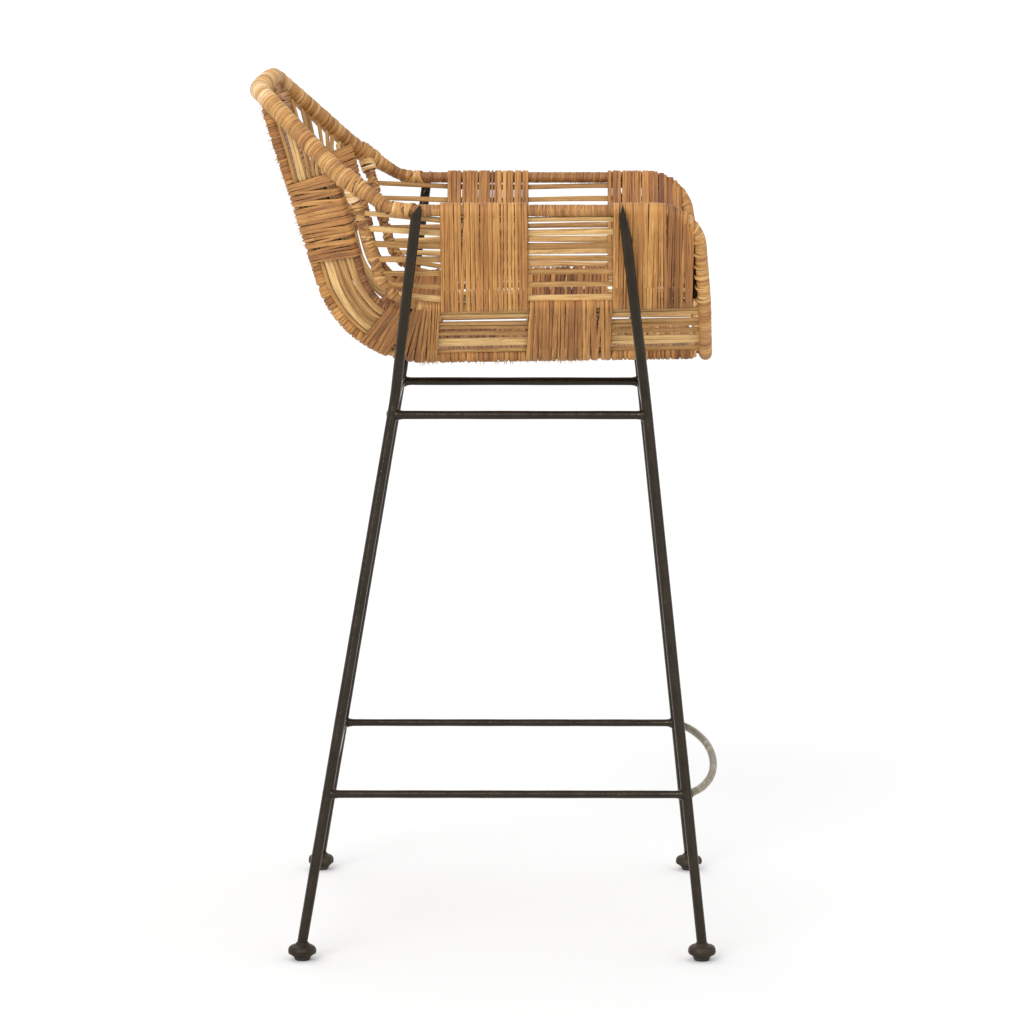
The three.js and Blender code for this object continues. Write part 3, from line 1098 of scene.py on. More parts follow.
class Bench:
    """Modelling by hand with Blender's own operators, on one piece at a time."""

    @staticmethod
    def pick(piece: bpy.types.Object) -> None:
        """Select one piece and nothing else.

        Args:
            piece: The piece.
        """
        if bpy.context.object and bpy.context.object.mode != "OBJECT":
            bpy.ops.object.mode_set(mode="OBJECT")
        bpy.ops.object.select_all(action="DESELECT")
        piece.select_set(True)
        bpy.context.view_layer.objects.active = piece

    @staticmethod
    def draw_rod(
        name: str, line: Sequence[Vector], radii: Sequence[float], sides: int = 20
    ) -> bpy.types.Object:
        """Draw a round rod out along a line: a disc is extruded, turned and resized at each point.

        Args:
            name: The rod's name.
            line: The centre line's points.
            radii: The radius at each point.
            sides: The number of sides.

        Returns:
            The closed rod.
        """
        heading = (line[1] - line[0]).normalized()
        bpy.ops.object.select_all(action="DESELECT")
        bpy.ops.mesh.primitive_circle_add(
            vertices=sides,
            radius=radii[0],
            fill_type="NGON",
            location=line[0],
            rotation=heading.to_track_quat("Z", "Y").to_euler(),
        )
        rod = bpy.context.object
        rod.name = rod.data.name = name
        bpy.ops.object.transform_apply(location=True, rotation=True, scale=True)
        bpy.ops.object.mode_set(mode="EDIT")
        bpy.ops.mesh.select_all(action="SELECT")
        for i in range(1, len(line)):
            step = line[i] - line[i - 1]
            bpy.ops.mesh.extrude_region_move(TRANSFORM_OT_translate={"value": step})
            onward = step.normalized()
            if i < len(line) - 1:
                onward = ((line[i + 1] - line[i]).normalized() + onward).normalized()
            turn = heading.rotation_difference(onward)
            if turn.angle > 1e-5:
                Bench._turn_selected(turn, line[i])
            heading = onward
            grow = radii[i] / radii[i - 1]
            if abs(grow - 1) > 1e-6:
                bpy.ops.transform.resize(value=(grow, grow, grow), center_override=line[i])
        bpy.ops.mesh.select_all(action="SELECT")
        bpy.ops.mesh.normals_make_consistent(inside=False)
        bpy.ops.object.mode_set(mode="OBJECT")
        return rod

    @staticmethod
    def _turn_selected(turn: Quaternion, centre: Vector) -> None:
        """Turn the selected vertices about a point.

        Args:
            turn: The turn.
            centre: The point that stays still.
        """
        axis, angle = turn.to_axis_angle()
        bpy.ops.transform.rotate(
            value=-angle,
            orient_axis="Z",
            orient_type="GLOBAL",
            orient_matrix=axis.to_track_quat("Z", "Y").to_matrix(),
            orient_matrix_type="GLOBAL",
            center_override=centre,
        )

    @staticmethod
    def slice_off(piece: bpy.types.Object, at: Vector, away: Vector) -> None:
        """Cut a piece with a plane and close the cut.

        Args:
            piece: The piece.
            at: A point of the plane.
            away: The direction of the part that goes.
        """
        Bench.pick(piece)
        bpy.ops.object.mode_set(mode="EDIT")
        bpy.ops.mesh.select_all(action="SELECT")
        bpy.ops.mesh.bisect(
            plane_co=at, plane_no=away, use_fill=True, clear_outer=True, clear_inner=False
        )
        bpy.ops.object.mode_set(mode="OBJECT")

    @staticmethod
    def soften(piece: bpy.types.Object, width: float, sharp: float = 40.0) -> None:
        """Round a piece's sharp edges and shade the rest smooth.

        Args:
            piece: The piece.
            width: The rounding's width.
            sharp: Edges sharper than this many degrees are rounded.
        """
        Bench.pick(piece)
        bevel = piece.modifiers.new("soft_edges", "BEVEL")
        bevel.width = width
        bevel.segments = 2
        bevel.limit_method = "ANGLE"
        bevel.angle_limit = math.radians(sharp)
        bpy.ops.object.modifier_apply(modifier=bevel.name)
        bpy.ops.object.shade_smooth_by_angle(angle=math.radians(sharp))

    @staticmethod
    def ripple(
        piece: bpy.types.Object, depth: float, rng: random.Random, grain: float = 40.0
    ) -> None:
        """Push vertices in and out a little, so that a forged piece isn't perfectly true.

        Args:
            piece: The piece.
            depth: The most that a vertex moves.
            rng: The piece's own random numbers.
            grain: Waves in a metre.
        """
        phases = [rng.uniform(0, 2 * math.pi) for _ in range(3)]
        for vertex in piece.data.vertices:
            angles = (n * grain * 2 * math.pi + phase for n, phase in zip(vertex.co, phases))
            vertex.co += vertex.normal * (sum(math.sin(angle) for angle in angles) / 3) * depth


@dataclass
class SteelFrame:
    """The welded frame: four kinked legs, the bars between them, the footrest hoop and the feet.

    Feet, kinks and tips are pairs of a half width and a y. Two steep planes cut each leg's tip, one
    facing the front and one the rear, and a third slopes it outwards. Profiles are pairs of a
    height, or a distance from the leg's centre, and a radius. The hoop's curve goes hoop_reach of
    the way to its two pulls.
    """

    shop: Paintshop
    leg_radius: float = 0.006
    leg_ripple: float = 0.00022
    leg_rounding: float = 0.0005
    rod_ripple: float = 0.0003
    rod_rounding: float = 0.0003
    kink_height: float = 0.645
    kink_bend: float = 0.03
    tip_height: float = 0.873
    tip_rise: float = 0.002
    outer_bevel: float = 50.0
    seat_bar_radius: float = 0.005
    seat_bar_height: float = 0.624
    foot_bar_radius: float = 0.0045
    foot_bar_height: float = 0.1905
    hoop_front: float = -0.267
    hoop_drop: float = 0.002
    hoop_pull: float = 0.15
    hoop_reach: float = 0.75
    hoop_chords: int = 60
    cap_top: float = 0.021
    leg_start: float = 0.017
    feet: dict[End, tuple[float, float]] = field(
        default_factory=lambda: {End.FRONT: (0.251, -0.249), End.REAR: (0.251, 0.2175)}
    )
    kinks: dict[End, tuple[float, float]] = field(
        default_factory=lambda: {End.FRONT: (0.1693, -0.1813), End.REAR: (0.1693, 0.107)}
    )
    tips: dict[End, tuple[float, float]] = field(
        default_factory=lambda: {End.FRONT: (0.276, -0.1525), End.REAR: (0.276, 0.0785)}
    )
    peak_shifts: dict[End, float] = field(
        default_factory=lambda: {End.FRONT: 0.0, End.REAR: -0.0038}
    )
    front_and_rear_bevels: dict[End, tuple[float, float]] = field(
        default_factory=lambda: {End.FRONT: (15.0, 13.0), End.REAR: (11.0, 40.0)}
    )
    weld_profile: tuple[tuple[float, float], ...] = (
        (0.0026, 0.0011), (0.0056, 0.0017), (0.0072, 0.0013), (0.0088, 0.0006), (0.0125, 0.0),
    )
    cap_profile: tuple[tuple[float, float], ...] = (
        (0.0048, 0.0106), (0.0056, 0.0118), (0.0074, 0.0130), (0.0080, 0.0152), (0.0090, 0.0160),
        (0.0118, 0.0161), (0.0136, 0.0158), (0.0158, 0.0148), (0.0172, 0.0129), (0.0180, 0.0104),
        (0.0186, 0.0084), (0.0204, 0.0074), (0.0212, 0.0066),
    )
    pad_profile: tuple[tuple[float, float], ...] = (
        (0.0, 0.0076), (0.0007, 0.0085), (0.0034, 0.0098), (0.0048, 0.0102),
    )
    rng: random.Random = field(default_factory=lambda: random.Random(11))

    def on_leg(self, end: End, side: Side, height: float) -> Vector:
        """The centre of a leg's lower run at a height.

        Args:
            end: The leg's end of the stool.
            side: The leg's side.
            height: The height.

        Returns:
            The point.
        """
        foot = place((*self.feet[end], 0.0), side)
        kink = place((*self.kinks[end], self.kink_height), side)
        return foot.lerp(kink, height / self.kink_height)

    def build(self) -> None:
        """Build and dress every steel piece."""
        for side in Side:
            for end in End:
                self._leg(end, side)
                self._foot(end, side)
            along = ((End.FRONT, side), (End.REAR, side))
            self._seat_bar(f"seat_side_bar_{side.word}", *along)
            self._foot_bar(f"foot_side_bar_{side.word}", *along)
        for end in End:
            self._seat_bar(f"seat_cross_bar_{end.word}", (end, Side.RIGHT), (end, Side.LEFT))
        self._foot_bar("foot_cross_bar_rear", (End.REAR, Side.RIGHT), (End.REAR, Side.LEFT))
        self._hoop()

    def _leg(self, end: End, side: Side) -> None:
        """One leg, from inside its foot cap to its bevelled tip.

        Args:
            end: The leg's end of the stool.
            side: The leg's side.
        """
        tip = place((*self.tips[end], self.tip_height), side)
        kink = self.on_leg(end, side, self.kink_height)
        beyond = tip + (tip - kink).normalized() * (self.tip_rise + self.leg_radius)
        stops = [self.on_leg(end, side, self.leg_start), kink, beyond]
        bent = rounded_line(stops, [self.kink_bend], 8)
        lower = [bent[0].lerp(bent[1], i / 12) for i in range(1, 12)]
        upper = [bent[-2].lerp(bent[-1], i / 8) for i in range(1, 9)]
        line = [bent[0], *lower, *bent[1:-1], *upper]
        name = f"leg_{end.word}_{side.word}"
        leg = Bench.draw_rod(f"{name}_rod", line, [self.leg_radius] * len(line), 24)
        peak = tip + Vector((0.0, self.peak_shifts[end], self.tip_rise))
        for way, degrees in zip((-1, 1), self.front_and_rear_bevels[end]):
            bevel = math.radians(degrees)
            Bench.slice_off(leg, peak, Vector((0.0, way * math.cos(bevel), math.sin(bevel))))
        bevel = math.radians(self.outer_bevel)
        inmost = peak - Vector((side.value * self.leg_radius, 0.0, 0.0))
        Bench.slice_off(leg, inmost, Vector((side.value * math.sin(bevel), 0.0, math.cos(bevel))))
        Bench.ripple(leg, self.leg_ripple, self.rng)
        Bench.soften(leg, self.leg_rounding)
        self.shop.dress(leg, FRAME_STEEL, Slot.FRAME_STEEL, [name])

    def _welded(
        self, name: str, line: Line, radius: float, finish: Finish, slot: Slot, steps: int
    ) -> None:
        """A rod whose ends swell into the welds that hold them to the legs.

        Args:
            name: The CAD node.
            line: The centre line, from one leg's centre to the other's.
            radius: The rod's radius.
            finish: The rod's finish.
            slot: The finish's slot.
            steps: Stretches between the welds.
        """
        reach = self.weld_profile[-1][0]
        inner = [(reach + (line.length - 2 * reach) * i / steps, 0.0) for i in range(1, steps)]
        far = [(line.length - distance, swell) for distance, swell in reversed(self.weld_profile)]
        marks = [*self.weld_profile, *inner, *far]
        radii = [radius + swell * self.rng.uniform(0.8, 1.2) for _, swell in marks]
        rod = Bench.draw_rod(f"{name}_rod", [line.at(d) for d, _ in marks], radii, 20)
        Bench.ripple(rod, self.rod_ripple, self.rng, 60.0)
        Bench.soften(rod, self.rod_rounding, 60.0)
        self.shop.dress(rod, finish, slot, [name])

    def _bar(self, name: str, radius: float, height: float, start: Leg, stop: Leg) -> None:
        """A straight bar from leg to leg.

        Args:
            name: The CAD node.
            radius: The bar's radius.
            height: Its height.
            start: The leg it starts from.
            stop: The leg it ends at.
        """
        line = Line([self.on_leg(*leg, height) for leg in (start, stop)])
        self._welded(name, line, radius, FRAME_STEEL, Slot.FRAME_STEEL, 14)

    def _seat_bar(self, name: str, start: Leg, stop: Leg) -> None:
        """A bar under the seat."""
        self._bar(name, self.seat_bar_radius, self.seat_bar_height, start, stop)

    def _foot_bar(self, name: str, start: Leg, stop: Leg) -> None:
        """A bar at the footrest's level."""
        self._bar(name, self.foot_bar_radius, self.foot_bar_height, start, stop)

    def _hoop(self) -> None:
        """The footrest, which bows forward between the front legs in one smooth curve."""
        start, stop = (self.on_leg(End.FRONT, side, self.foot_bar_height) for side in Side)
        pull_y = start.y + (self.hoop_front - start.y) / self.hoop_reach
        near, far = (
            Vector((side.value * self.hoop_pull, pull_y, start.z - self.hoop_drop)) for side in Side
        )
        points = []
        for i in range(self.hoop_chords + 1):
            t = i / self.hoop_chords
            outer = start * (1 - t) ** 3 + near * 3 * t * (1 - t) ** 2
            points.append(outer + far * 3 * t * t * (1 - t) + stop * t ** 3)
        self._welded(
            "footrest_hoop", Line(points), self.foot_bar_radius,
            FOOTREST_STEEL, Slot.FOOTREST_STEEL, 44,
        )

    def _foot(self, end: End, side: Side) -> None:
        """A pressed foot cap and the pad under it.

        Args:
            end: The leg's end of the stool.
            side: The leg's side.
        """
        middle = self.on_leg(end, side, self.cap_top)
        for word, profile, finish, slot, lump in (
            ("cap", self.cap_profile, FOOT_STEEL, Slot.FOOT_CAP, 0.0007),
            ("pad", self.pad_profile, PAD_RUBBER, Slot.FOOT_PAD, 0.0),
        ):
            name = f"foot_{word}_{end.word}_{side.word}"
            line = [Vector((middle.x, middle.y, height)) for height, _ in profile]
            piece = Bench.draw_rod(f"{name}_turned", line, [radius for _, radius in profile], 28)
            Bench.ripple(piece, lump, self.rng, 55.0)
            Bench.soften(piece, self.rod_rounding, 50.0)
            self.shop.dress(piece, finish, slot, [name])


# ---------------------------------------------------------------- the bound poles


@dataclass
class Skeleton:
    """The rattan poles of the shell, each bound with cane from end to end.

    The rim is slimmest over the arm and grows as it climbs to the back.
    """

    shop: Paintshop
    rim_slim: float = 0.0074
    rim_arm: float = 0.0066
    rim_full: float = 0.0105
    rim_arm_from: float = 0.835
    rim_arm_blend: float = 0.03
    rim_slim_below: float = 0.868
    rim_full_above: float = 0.905
    rim_start: Place = (0.110, -0.251, 0.691)
    rim_corners: tuple[tuple[Place, float], ...] = (
        ((0.143, -0.251, 0.691), 0.025),
        ((0.202, -0.2475, 0.757), 0.060),
        ((0.257, -0.237, 0.8665), 0.050),
        ((0.257, 0.108, 0.8665), 0.045),
        ((0.231, 0.1695, 0.907), 0.060),
        ((0.160, 0.261, 0.9955), 0.032),
    )
    rim_end: Place = (0.118, 0.2635, 0.9955)
    top_middle_y: float = 0.2645
    arm_heights: tuple[float, float] = (0.84, 0.885)
    arm_front_y: float = -0.2
    arm_stain: float = -0.3
    rim_stain: float = -0.06
    # The painted highlight on the crown: where it starts, over what height it grows, and how much.
    bleach_from: float = 0.972
    bleach_over: float = 0.02
    bleach: float = 0.28
    side_seed: int = 31
    mid: PoleRoute = PoleRoute(
        0.005, (0.201, -0.237, 0.757), (0.204, 0.113, 0.751), (0.237, 0.154, 0.893), 0.061
    )
    spine: PoleRoute = PoleRoute(
        0.006, (0.137, -0.2405, 0.693), (0.138, 0.1637, 0.687), (0.161, 0.256, 0.99), 0.122
    )
    inner: PoleRoute = PoleRoute(
        0.007, (0.046, -0.2405, 0.687), (0.047, 0.165, 0.682), (0.053, 0.261, 0.993), 0.119
    )
    binding: Binding = Binding()
    arm_binding: Binding = Binding(
        pitch=0.0036, groove=0.00025, lap=0.0002, wander=0.00018, tone=(0.52, 0.16)
    )
    broad_binding: Binding = Binding(
        pitch=0.0058, groove=0.0004, lap=0.0004, wander=0.0004, sides=18, tilt=0.1, tone=(0.56, 0.2)
    )

    def weathering(self, point: Vector) -> float:
        """What handling adds to the tone, with a painted highlight: the arms are stained, and the
        binding is painted paler towards the crown.

        Args:
            point: A point of the rim.

        Returns:
            The number to add.
        """
        low, high = self.arm_heights
        on_arm = low < point.z < high and point.y > self.arm_front_y
        # Painted highlight: the binding turns paler as it climbs to the crown.
        painted_highlight = clamp((point.z - self.bleach_from) / self.bleach_over) * self.bleach
        return (self.arm_stain if on_arm else self.rim_stain) + painted_highlight

    def rim_line(self, side: Side) -> Line:
        """The rim from the front rail up over the arm to the top rail.

        Args:
            side: The side of the stool.

        Returns:
            The centre line.
        """
        stops = [self.rim_start, *(corner for corner, _ in self.rim_corners), self.rim_end]
        radii = [radius for _, radius in self.rim_corners]
        return Line(rounded_line([place(stop, side) for stop in stops], radii, 10))

    def rim_girth(self, height: float) -> float:
        """The rim's radius at a height.

        Args:
            height: The height.

        Returns:
            The radius.
        """
        climb = (height - self.rim_slim_below) / (self.rim_full_above - self.rim_slim_below)
        onto_arm = clamp((height - self.rim_arm_from) / self.rim_arm_blend)
        slim = self.rim_slim + (self.rim_arm - self.rim_slim) * onto_arm
        return slim + (self.rim_full - slim) * clamp(climb)

    def build(self) -> None:
        """Build and dress every pole."""
        for side in Side:
            rng = random.Random(self.side_seed + side.value)
            self._rim(side, rng)
            for word, route in (("mid", self.mid), ("spine", self.spine), ("inner", self.inner)):
                weave = Weave(f"{word}_pole_binding_{side.word}")
                self.binding.wind(weave, route.on(side).line(), route.girth, rng)
                self._dress(weave, f"{word}_pole_{side.word}")
        self._top_rail()
        self._front_rail()

    def _dress(self, weave: Weave, node: str) -> None:
        """Make a bound pole and dress it."""
        self.shop.dress(weave.make(), BINDING_CANE, Slot.WRAPPED_POLE, [node])

    def _rim(self, side: Side, rng: random.Random) -> None:
        """Bind a side's rim, finely as far as the arm goes and then broadly.

        Args:
            side: The side of the stool.
            rng: The side's random numbers.
        """
        line = self.rim_line(side)
        steps = (line.at(i * 0.002) for i in range(2000))
        climb = 0.002 * next(
            i for i, p in enumerate(steps) if p.z > self.rim_slim_below + 0.004 and p.y > 0
        )
        arm = Line([line.at(d) for d in steps_between(0.0, climb, 160)])
        back = Line([line.at(d) for d in steps_between(climb, line.length, 90)])
        weave = Weave(f"rim_binding_{side.word}")
        for binding, run in ((self.arm_binding, arm), (self.broad_binding, back)):
            binding.wind(
                weave, run, lambda d, r=run: self.rim_girth(r.at(d).z), rng, self.weathering
            )
        self._dress(weave, f"rim_{side.word}")

    def _top_rail(self) -> None:
        """Bind the rail along the top, which bows back a little."""
        x, y, z = self.rim_end
        bow = self.top_middle_y - y
        line = Line(
            [Vector((x * s, y + bow * (1 - s ** 2), z)) for s in steps_between(-1.0, 1.0, 40)]
        )
        weave = Weave("top_rail_binding")
        self.broad_binding.wind(
            weave, line, lambda d: self.rim_full, random.Random(5), self.weathering
        )
        self._dress(weave, "top_rail")

    def _front_rail(self) -> None:
        """Bind the rail along the front of the seat."""
        x, y, z = self.rim_start
        line = Line([Vector((x * s, y, z)) for s in steps_between(-1.0, 1.0, 10)])
        weave = Weave("front_rail_binding")
        self.binding.wind(weave, line, lambda d: self.rim_slim, random.Random(6))
        self._dress(weave, "front_rail")


# ---------------------------------------------------------------- the woven rows


@dataclass(frozen=True)
class WingRoute:
    """The upper edge of the flank: the mid pole along the seat, then a thin wing pole by the post.

    The wing pole parts from the corner post over parts_over stations. Past climb_from it gains on
    the spine pole, and so runs on up to the rim.
    """

    mid: PoleRoute
    spine: PoleRoute
    radius: float = 0.0045
    offset: float = 0.027
    parts_over: float = 0.6
    climb_from: float = 2.2
    climb: float = 0.26

    def at(self, station: float) -> Vector:
        """The edge's centre at a station.

        Args:
            station: The station.

        Returns:
            The point.
        """
        share = clamp((station - 1) / self.parts_over)
        smooth = share * share * (3 - 2 * share)
        reach = station + max(station - self.climb_from, 0.0) * self.climb
        point = self.mid.at(min(reach, 3.0))
        point += (self.spine.at(station) - point).normalized() * self.offset * smooth
        rise = self.mid.at(3.0) - self.mid.at(2.0)
        return point + rise * max(reach - 3.0, 0.0)

    def girth(self, station: float) -> float:
        """The radius that the strips go round."""
        return self.mid.radius if station <= 1 else self.radius


@dataclass(frozen=True)
class ArmRail:
    """The rim over the arm, matched station by station to the mid pole."""

    rim: Line
    mid: PoleRoute
    radius: float
    lowest: float = 0.775

    def at(self, station: float) -> Vector:
        """The rim's centre where it has the mid pole's y.

        Args:
            station: The station on the mid pole.

        Returns:
            The point.
        """
        wanted = self.mid.at(station).y
        climb = [p for p in self.rim.points if p.z > self.lowest]
        for a, b in zip(climb, climb[1:]):
            if a.y < b.y and a.y <= wanted <= b.y:
                return a.lerp(b, (wanted - a.y) / (b.y - a.y))
        return climb[0].copy()

    def girth(self, station: float) -> float:
        """The radius that the strips go round."""
        return self.radius


Edge = PoleRoute | WingRoute | ArmRail


@dataclass
class Row:
    """Weaving between two poles: rods from front to back, and bays of cane wound round both poles.

    A bay runs between two neighbouring BAY_ENDS. The strips dip towards each other between the
    poles by squeeze, and loose is the chance that a strip leans well away from its neighbours.
    """

    name: str
    lower: PoleRoute
    upper: Edge
    dense_bays: tuple[int, ...]
    ending: str
    rods: int = 6
    rod_width: float = 0.0112
    strip_width: float = 0.0048
    squeeze: float = 0.0022
    clearance: float = 0.0005
    loose: float = 0.1
    gap: float = 0.0002
    rod_gap: float = 0.0004
    overlaps: tuple[float, ...] = (0.95, 1.0, 1.06, 1.12)
    spots: tuple[float, ...] = (0.2, 0.5, 0.8)
    turn_points: int = 5

    def frame(self, low: float, high: float) -> tuple[Vector, Vector, Vector, Vector]:
        """The row's cross-section.

        Args:
            low: The station on the lower pole.
            high: The station on the upper pole.

        Returns:
            The two poles' centres, the direction from one to the other, and the outward normal.
        """
        a, b = self.lower.at(low), self.upper.at(high)
        across = (b - a).normalized()
        ahead, behind = (
            (self.lower.at(low + step) + self.upper.at(high + step)) / 2 for step in (0.02, -0.02)
        )
        out = across.cross(ahead - behind).normalized()
        if out.dot((a + b) / 2 - BUCKET_MIDDLE) < 0:
            out = -out
        return a, b, across, out

    def loop(
        self,
        weave: Weave,
        stations: tuple[float, float],
        width: float,
        lift: float,
        tone: float,
        taper: tuple[float, float],
    ) -> None:
        """Wind one strip round both poles.

        Args:
            weave: The piece that it is added to.
            stations: The stations on the lower and on the upper pole.
            width: The strip's width half way.
            lift: How far it stands off the strips beside it.
            tone: Its tone.
            taper: The share of the width at the lower and at the upper pole.
        """
        a, b, across, out = self.frame(*stations)
        ra = self.lower.girth(stations[0]) + self.clearance + lift
        rb = self.upper.girth(stations[1]) + self.clearance + lift
        path, outs, shares = [], [], []
        for sign, pole, radius, share in ((1, b, rb, taper[1]), (-1, a, ra, taper[0])):
            for k in self.spots[::sign]:
                off = ra + (rb - ra) * k - self.squeeze * math.sin(math.pi * k)
                path.append(a.lerp(b, k) + out * sign * off)
                outs.append(out * sign)
                shares.append(taper[0] + (taper[1] - taper[0]) * k)
            for i in range(self.turn_points):
                angle = math.pi * i / (self.turn_points - 1)
                spoke = out * sign * math.cos(angle) + across * sign * math.sin(angle)
                path.append(pole + spoke * radius)
                outs.append(spoke)
                shares.append(share)
        weave.strip(path, outs, width, tone, closed=True, taper=shares)

    def bay_marks(self, bay: int) -> list[tuple[float, float]]:
        """Measure a bay along its own middle.

        Args:
            bay: The bay's number.

        Returns:
            Pairs of a distance and the station there.
        """
        stations = steps_between(BAY_ENDS[bay], BAY_ENDS[bay + 1], 60)
        middle = Line([(self.lower.at(s) + self.upper.at(s)) / 2 for s in stations])
        return list(zip(middle.reach, stations))

    @staticmethod
    def station_at(marks: Sequence[tuple[float, float]], distance: float) -> float:
        """The station at a distance along a bay.

        Args:
            marks: The bay's marks.
            distance: The distance, which is kept within the bay.

        Returns:
            The station.
        """
        distance = clamp(distance, 0.0, marks[-1][0])
        for (d0, s0), (d1, s1) in zip(marks, marks[1:]):
            if distance <= d1:
                return s0 + (s1 - s0) * (distance - d0) / max(d1 - d0, 1e-9)
        return marks[-1][1]

    def dense_bay(self, bay: int, rng: random.Random) -> Weave:
        """Fill a bay with strips of uneven width, lean and tone.

        Args:
            bay: The bay's number.
            rng: The bay's own random numbers.

        Returns:
            The bay's weave.
        """
        weave = Weave(f"{self.name}_cane_{bay}{self.ending}")
        marks = self.bay_marks(bay)
        length = marks[-1][0]
        count = round(length / self.strip_width)
        widths = [rng.uniform(0.55, 1.5) for _ in range(count)]
        scale = length / sum(widths)
        distance, mood = 0.0, 0.5
        for i, share in enumerate(widths):
            width = share * scale
            middle = distance + width / 2
            distance += width
            keep = width * 0.5 if i in (0, count - 1) else 0.0
            lean = rng.gauss(0.0, 0.0005) * (3.2 if rng.random() < self.loose else 1.0)
            low, high = (
                self.station_at(marks, clamp(middle + lean * way, keep, length - keep))
                for way in (1, -1)
            )
            taper = tuple(self._spread(pole, marks, middle) for pole in (self.lower, self.upper))
            mood = clamp(mood + rng.gauss(0.0, 0.09) + (0.5 - mood) * 0.12, 0.1, 0.9)
            tone = clamp(mood + rng.gauss(0.0, 0.13))
            lift = 0.00025 * (i % 2) + rng.uniform(0.0, 0.0002)
            width = max(width - self.gap, 0.0018) * rng.choice(self.overlaps)
            self.loop(weave, (low, high), width, lift, tone, taper)
        return weave

    def _spread(self, pole: Edge, marks: Sequence[tuple[float, float]], middle: float) -> float:
        """How much longer one pole's run is than the bay's middle line, within a strip's reach.

        Args:
            pole: The pole.
            marks: The bay's marks.
            middle: The distance along the bay.

        Returns:
            The ratio of the two runs.
        """
        a, b = (self.station_at(marks, middle + step) for step in (-0.004, 0.004))
        run = (pole.at(b) - pole.at(a)).length
        sums = [self.lower.at(station) + self.upper.at(station) for station in (a, b)]
        return clamp(run / max((sums[1] - sums[0]).length / 2, 1e-6), 0.6, 1.4)

    def rod_point(self, share: float, station: float) -> Vector:
        """Where the middle of a rod runs.

        Args:
            share: The share of the way from the lower to the upper pole.
            station: The station.

        Returns:
            The point.
        """
        a, b = self.lower.at(station), self.upper.at(station)
        across = (b - a).normalized()
        inset = self.rod_gap + self.rod_width / 2
        a = a + across * (self.lower.girth(station) + inset)
        b = b - across * (self.upper.girth(station) + inset)
        return a.lerp(b, share)

    def rod(
        self,
        weave: Weave,
        share: float,
        stations: Sequence[float],
        rng: random.Random,
        tail: Sequence[Vector] = (),
        tail_out: Vector | None = None,
    ) -> None:
        """Lay one rod through the row's centre, a little wavy.

        Args:
            weave: The piece that it is added to.
            share: The rod's share of the way across the row.
            stations: The stations that it passes.
            rng: The row's random numbers.
            tail: Where it goes after the last of them.
            tail_out: The way it faces there.
        """
        width = self.rod_width * rng.uniform(0.74, 1.1)
        phase = rng.uniform(0, 6.28)
        swing, bow = rng.uniform(0.0003, 0.0013), rng.uniform(-0.0006, 0.0006)
        path, outs, taper = [], [], []
        for station in stations:
            _, _, across, out = self.frame(station, station)
            wave = swing * math.sin(station * 7 + phase)
            path.append(self.rod_point(share, station) + across * wave + out * bow)
            outs.append(out)
            taper.append(1 + 0.07 * math.sin(station * 11 + phase * 2))
        path += tail
        outs += [tail_out] * len(tail)
        taper += [0.92] * len(tail)
        shape = RodShape()
        path = [p - o * shape.thickness / 2 for p, o in zip(path, outs)]
        weave.strip(path, outs, width, rng.uniform(0.3, 0.95), shape=shape, taper=taper)


@dataclass(frozen=True)
class Knot:
    """A heap of broad turns of cane on the rim: half its length, its turns and their most lean."""

    spread: float
    turns: int
    lean: float


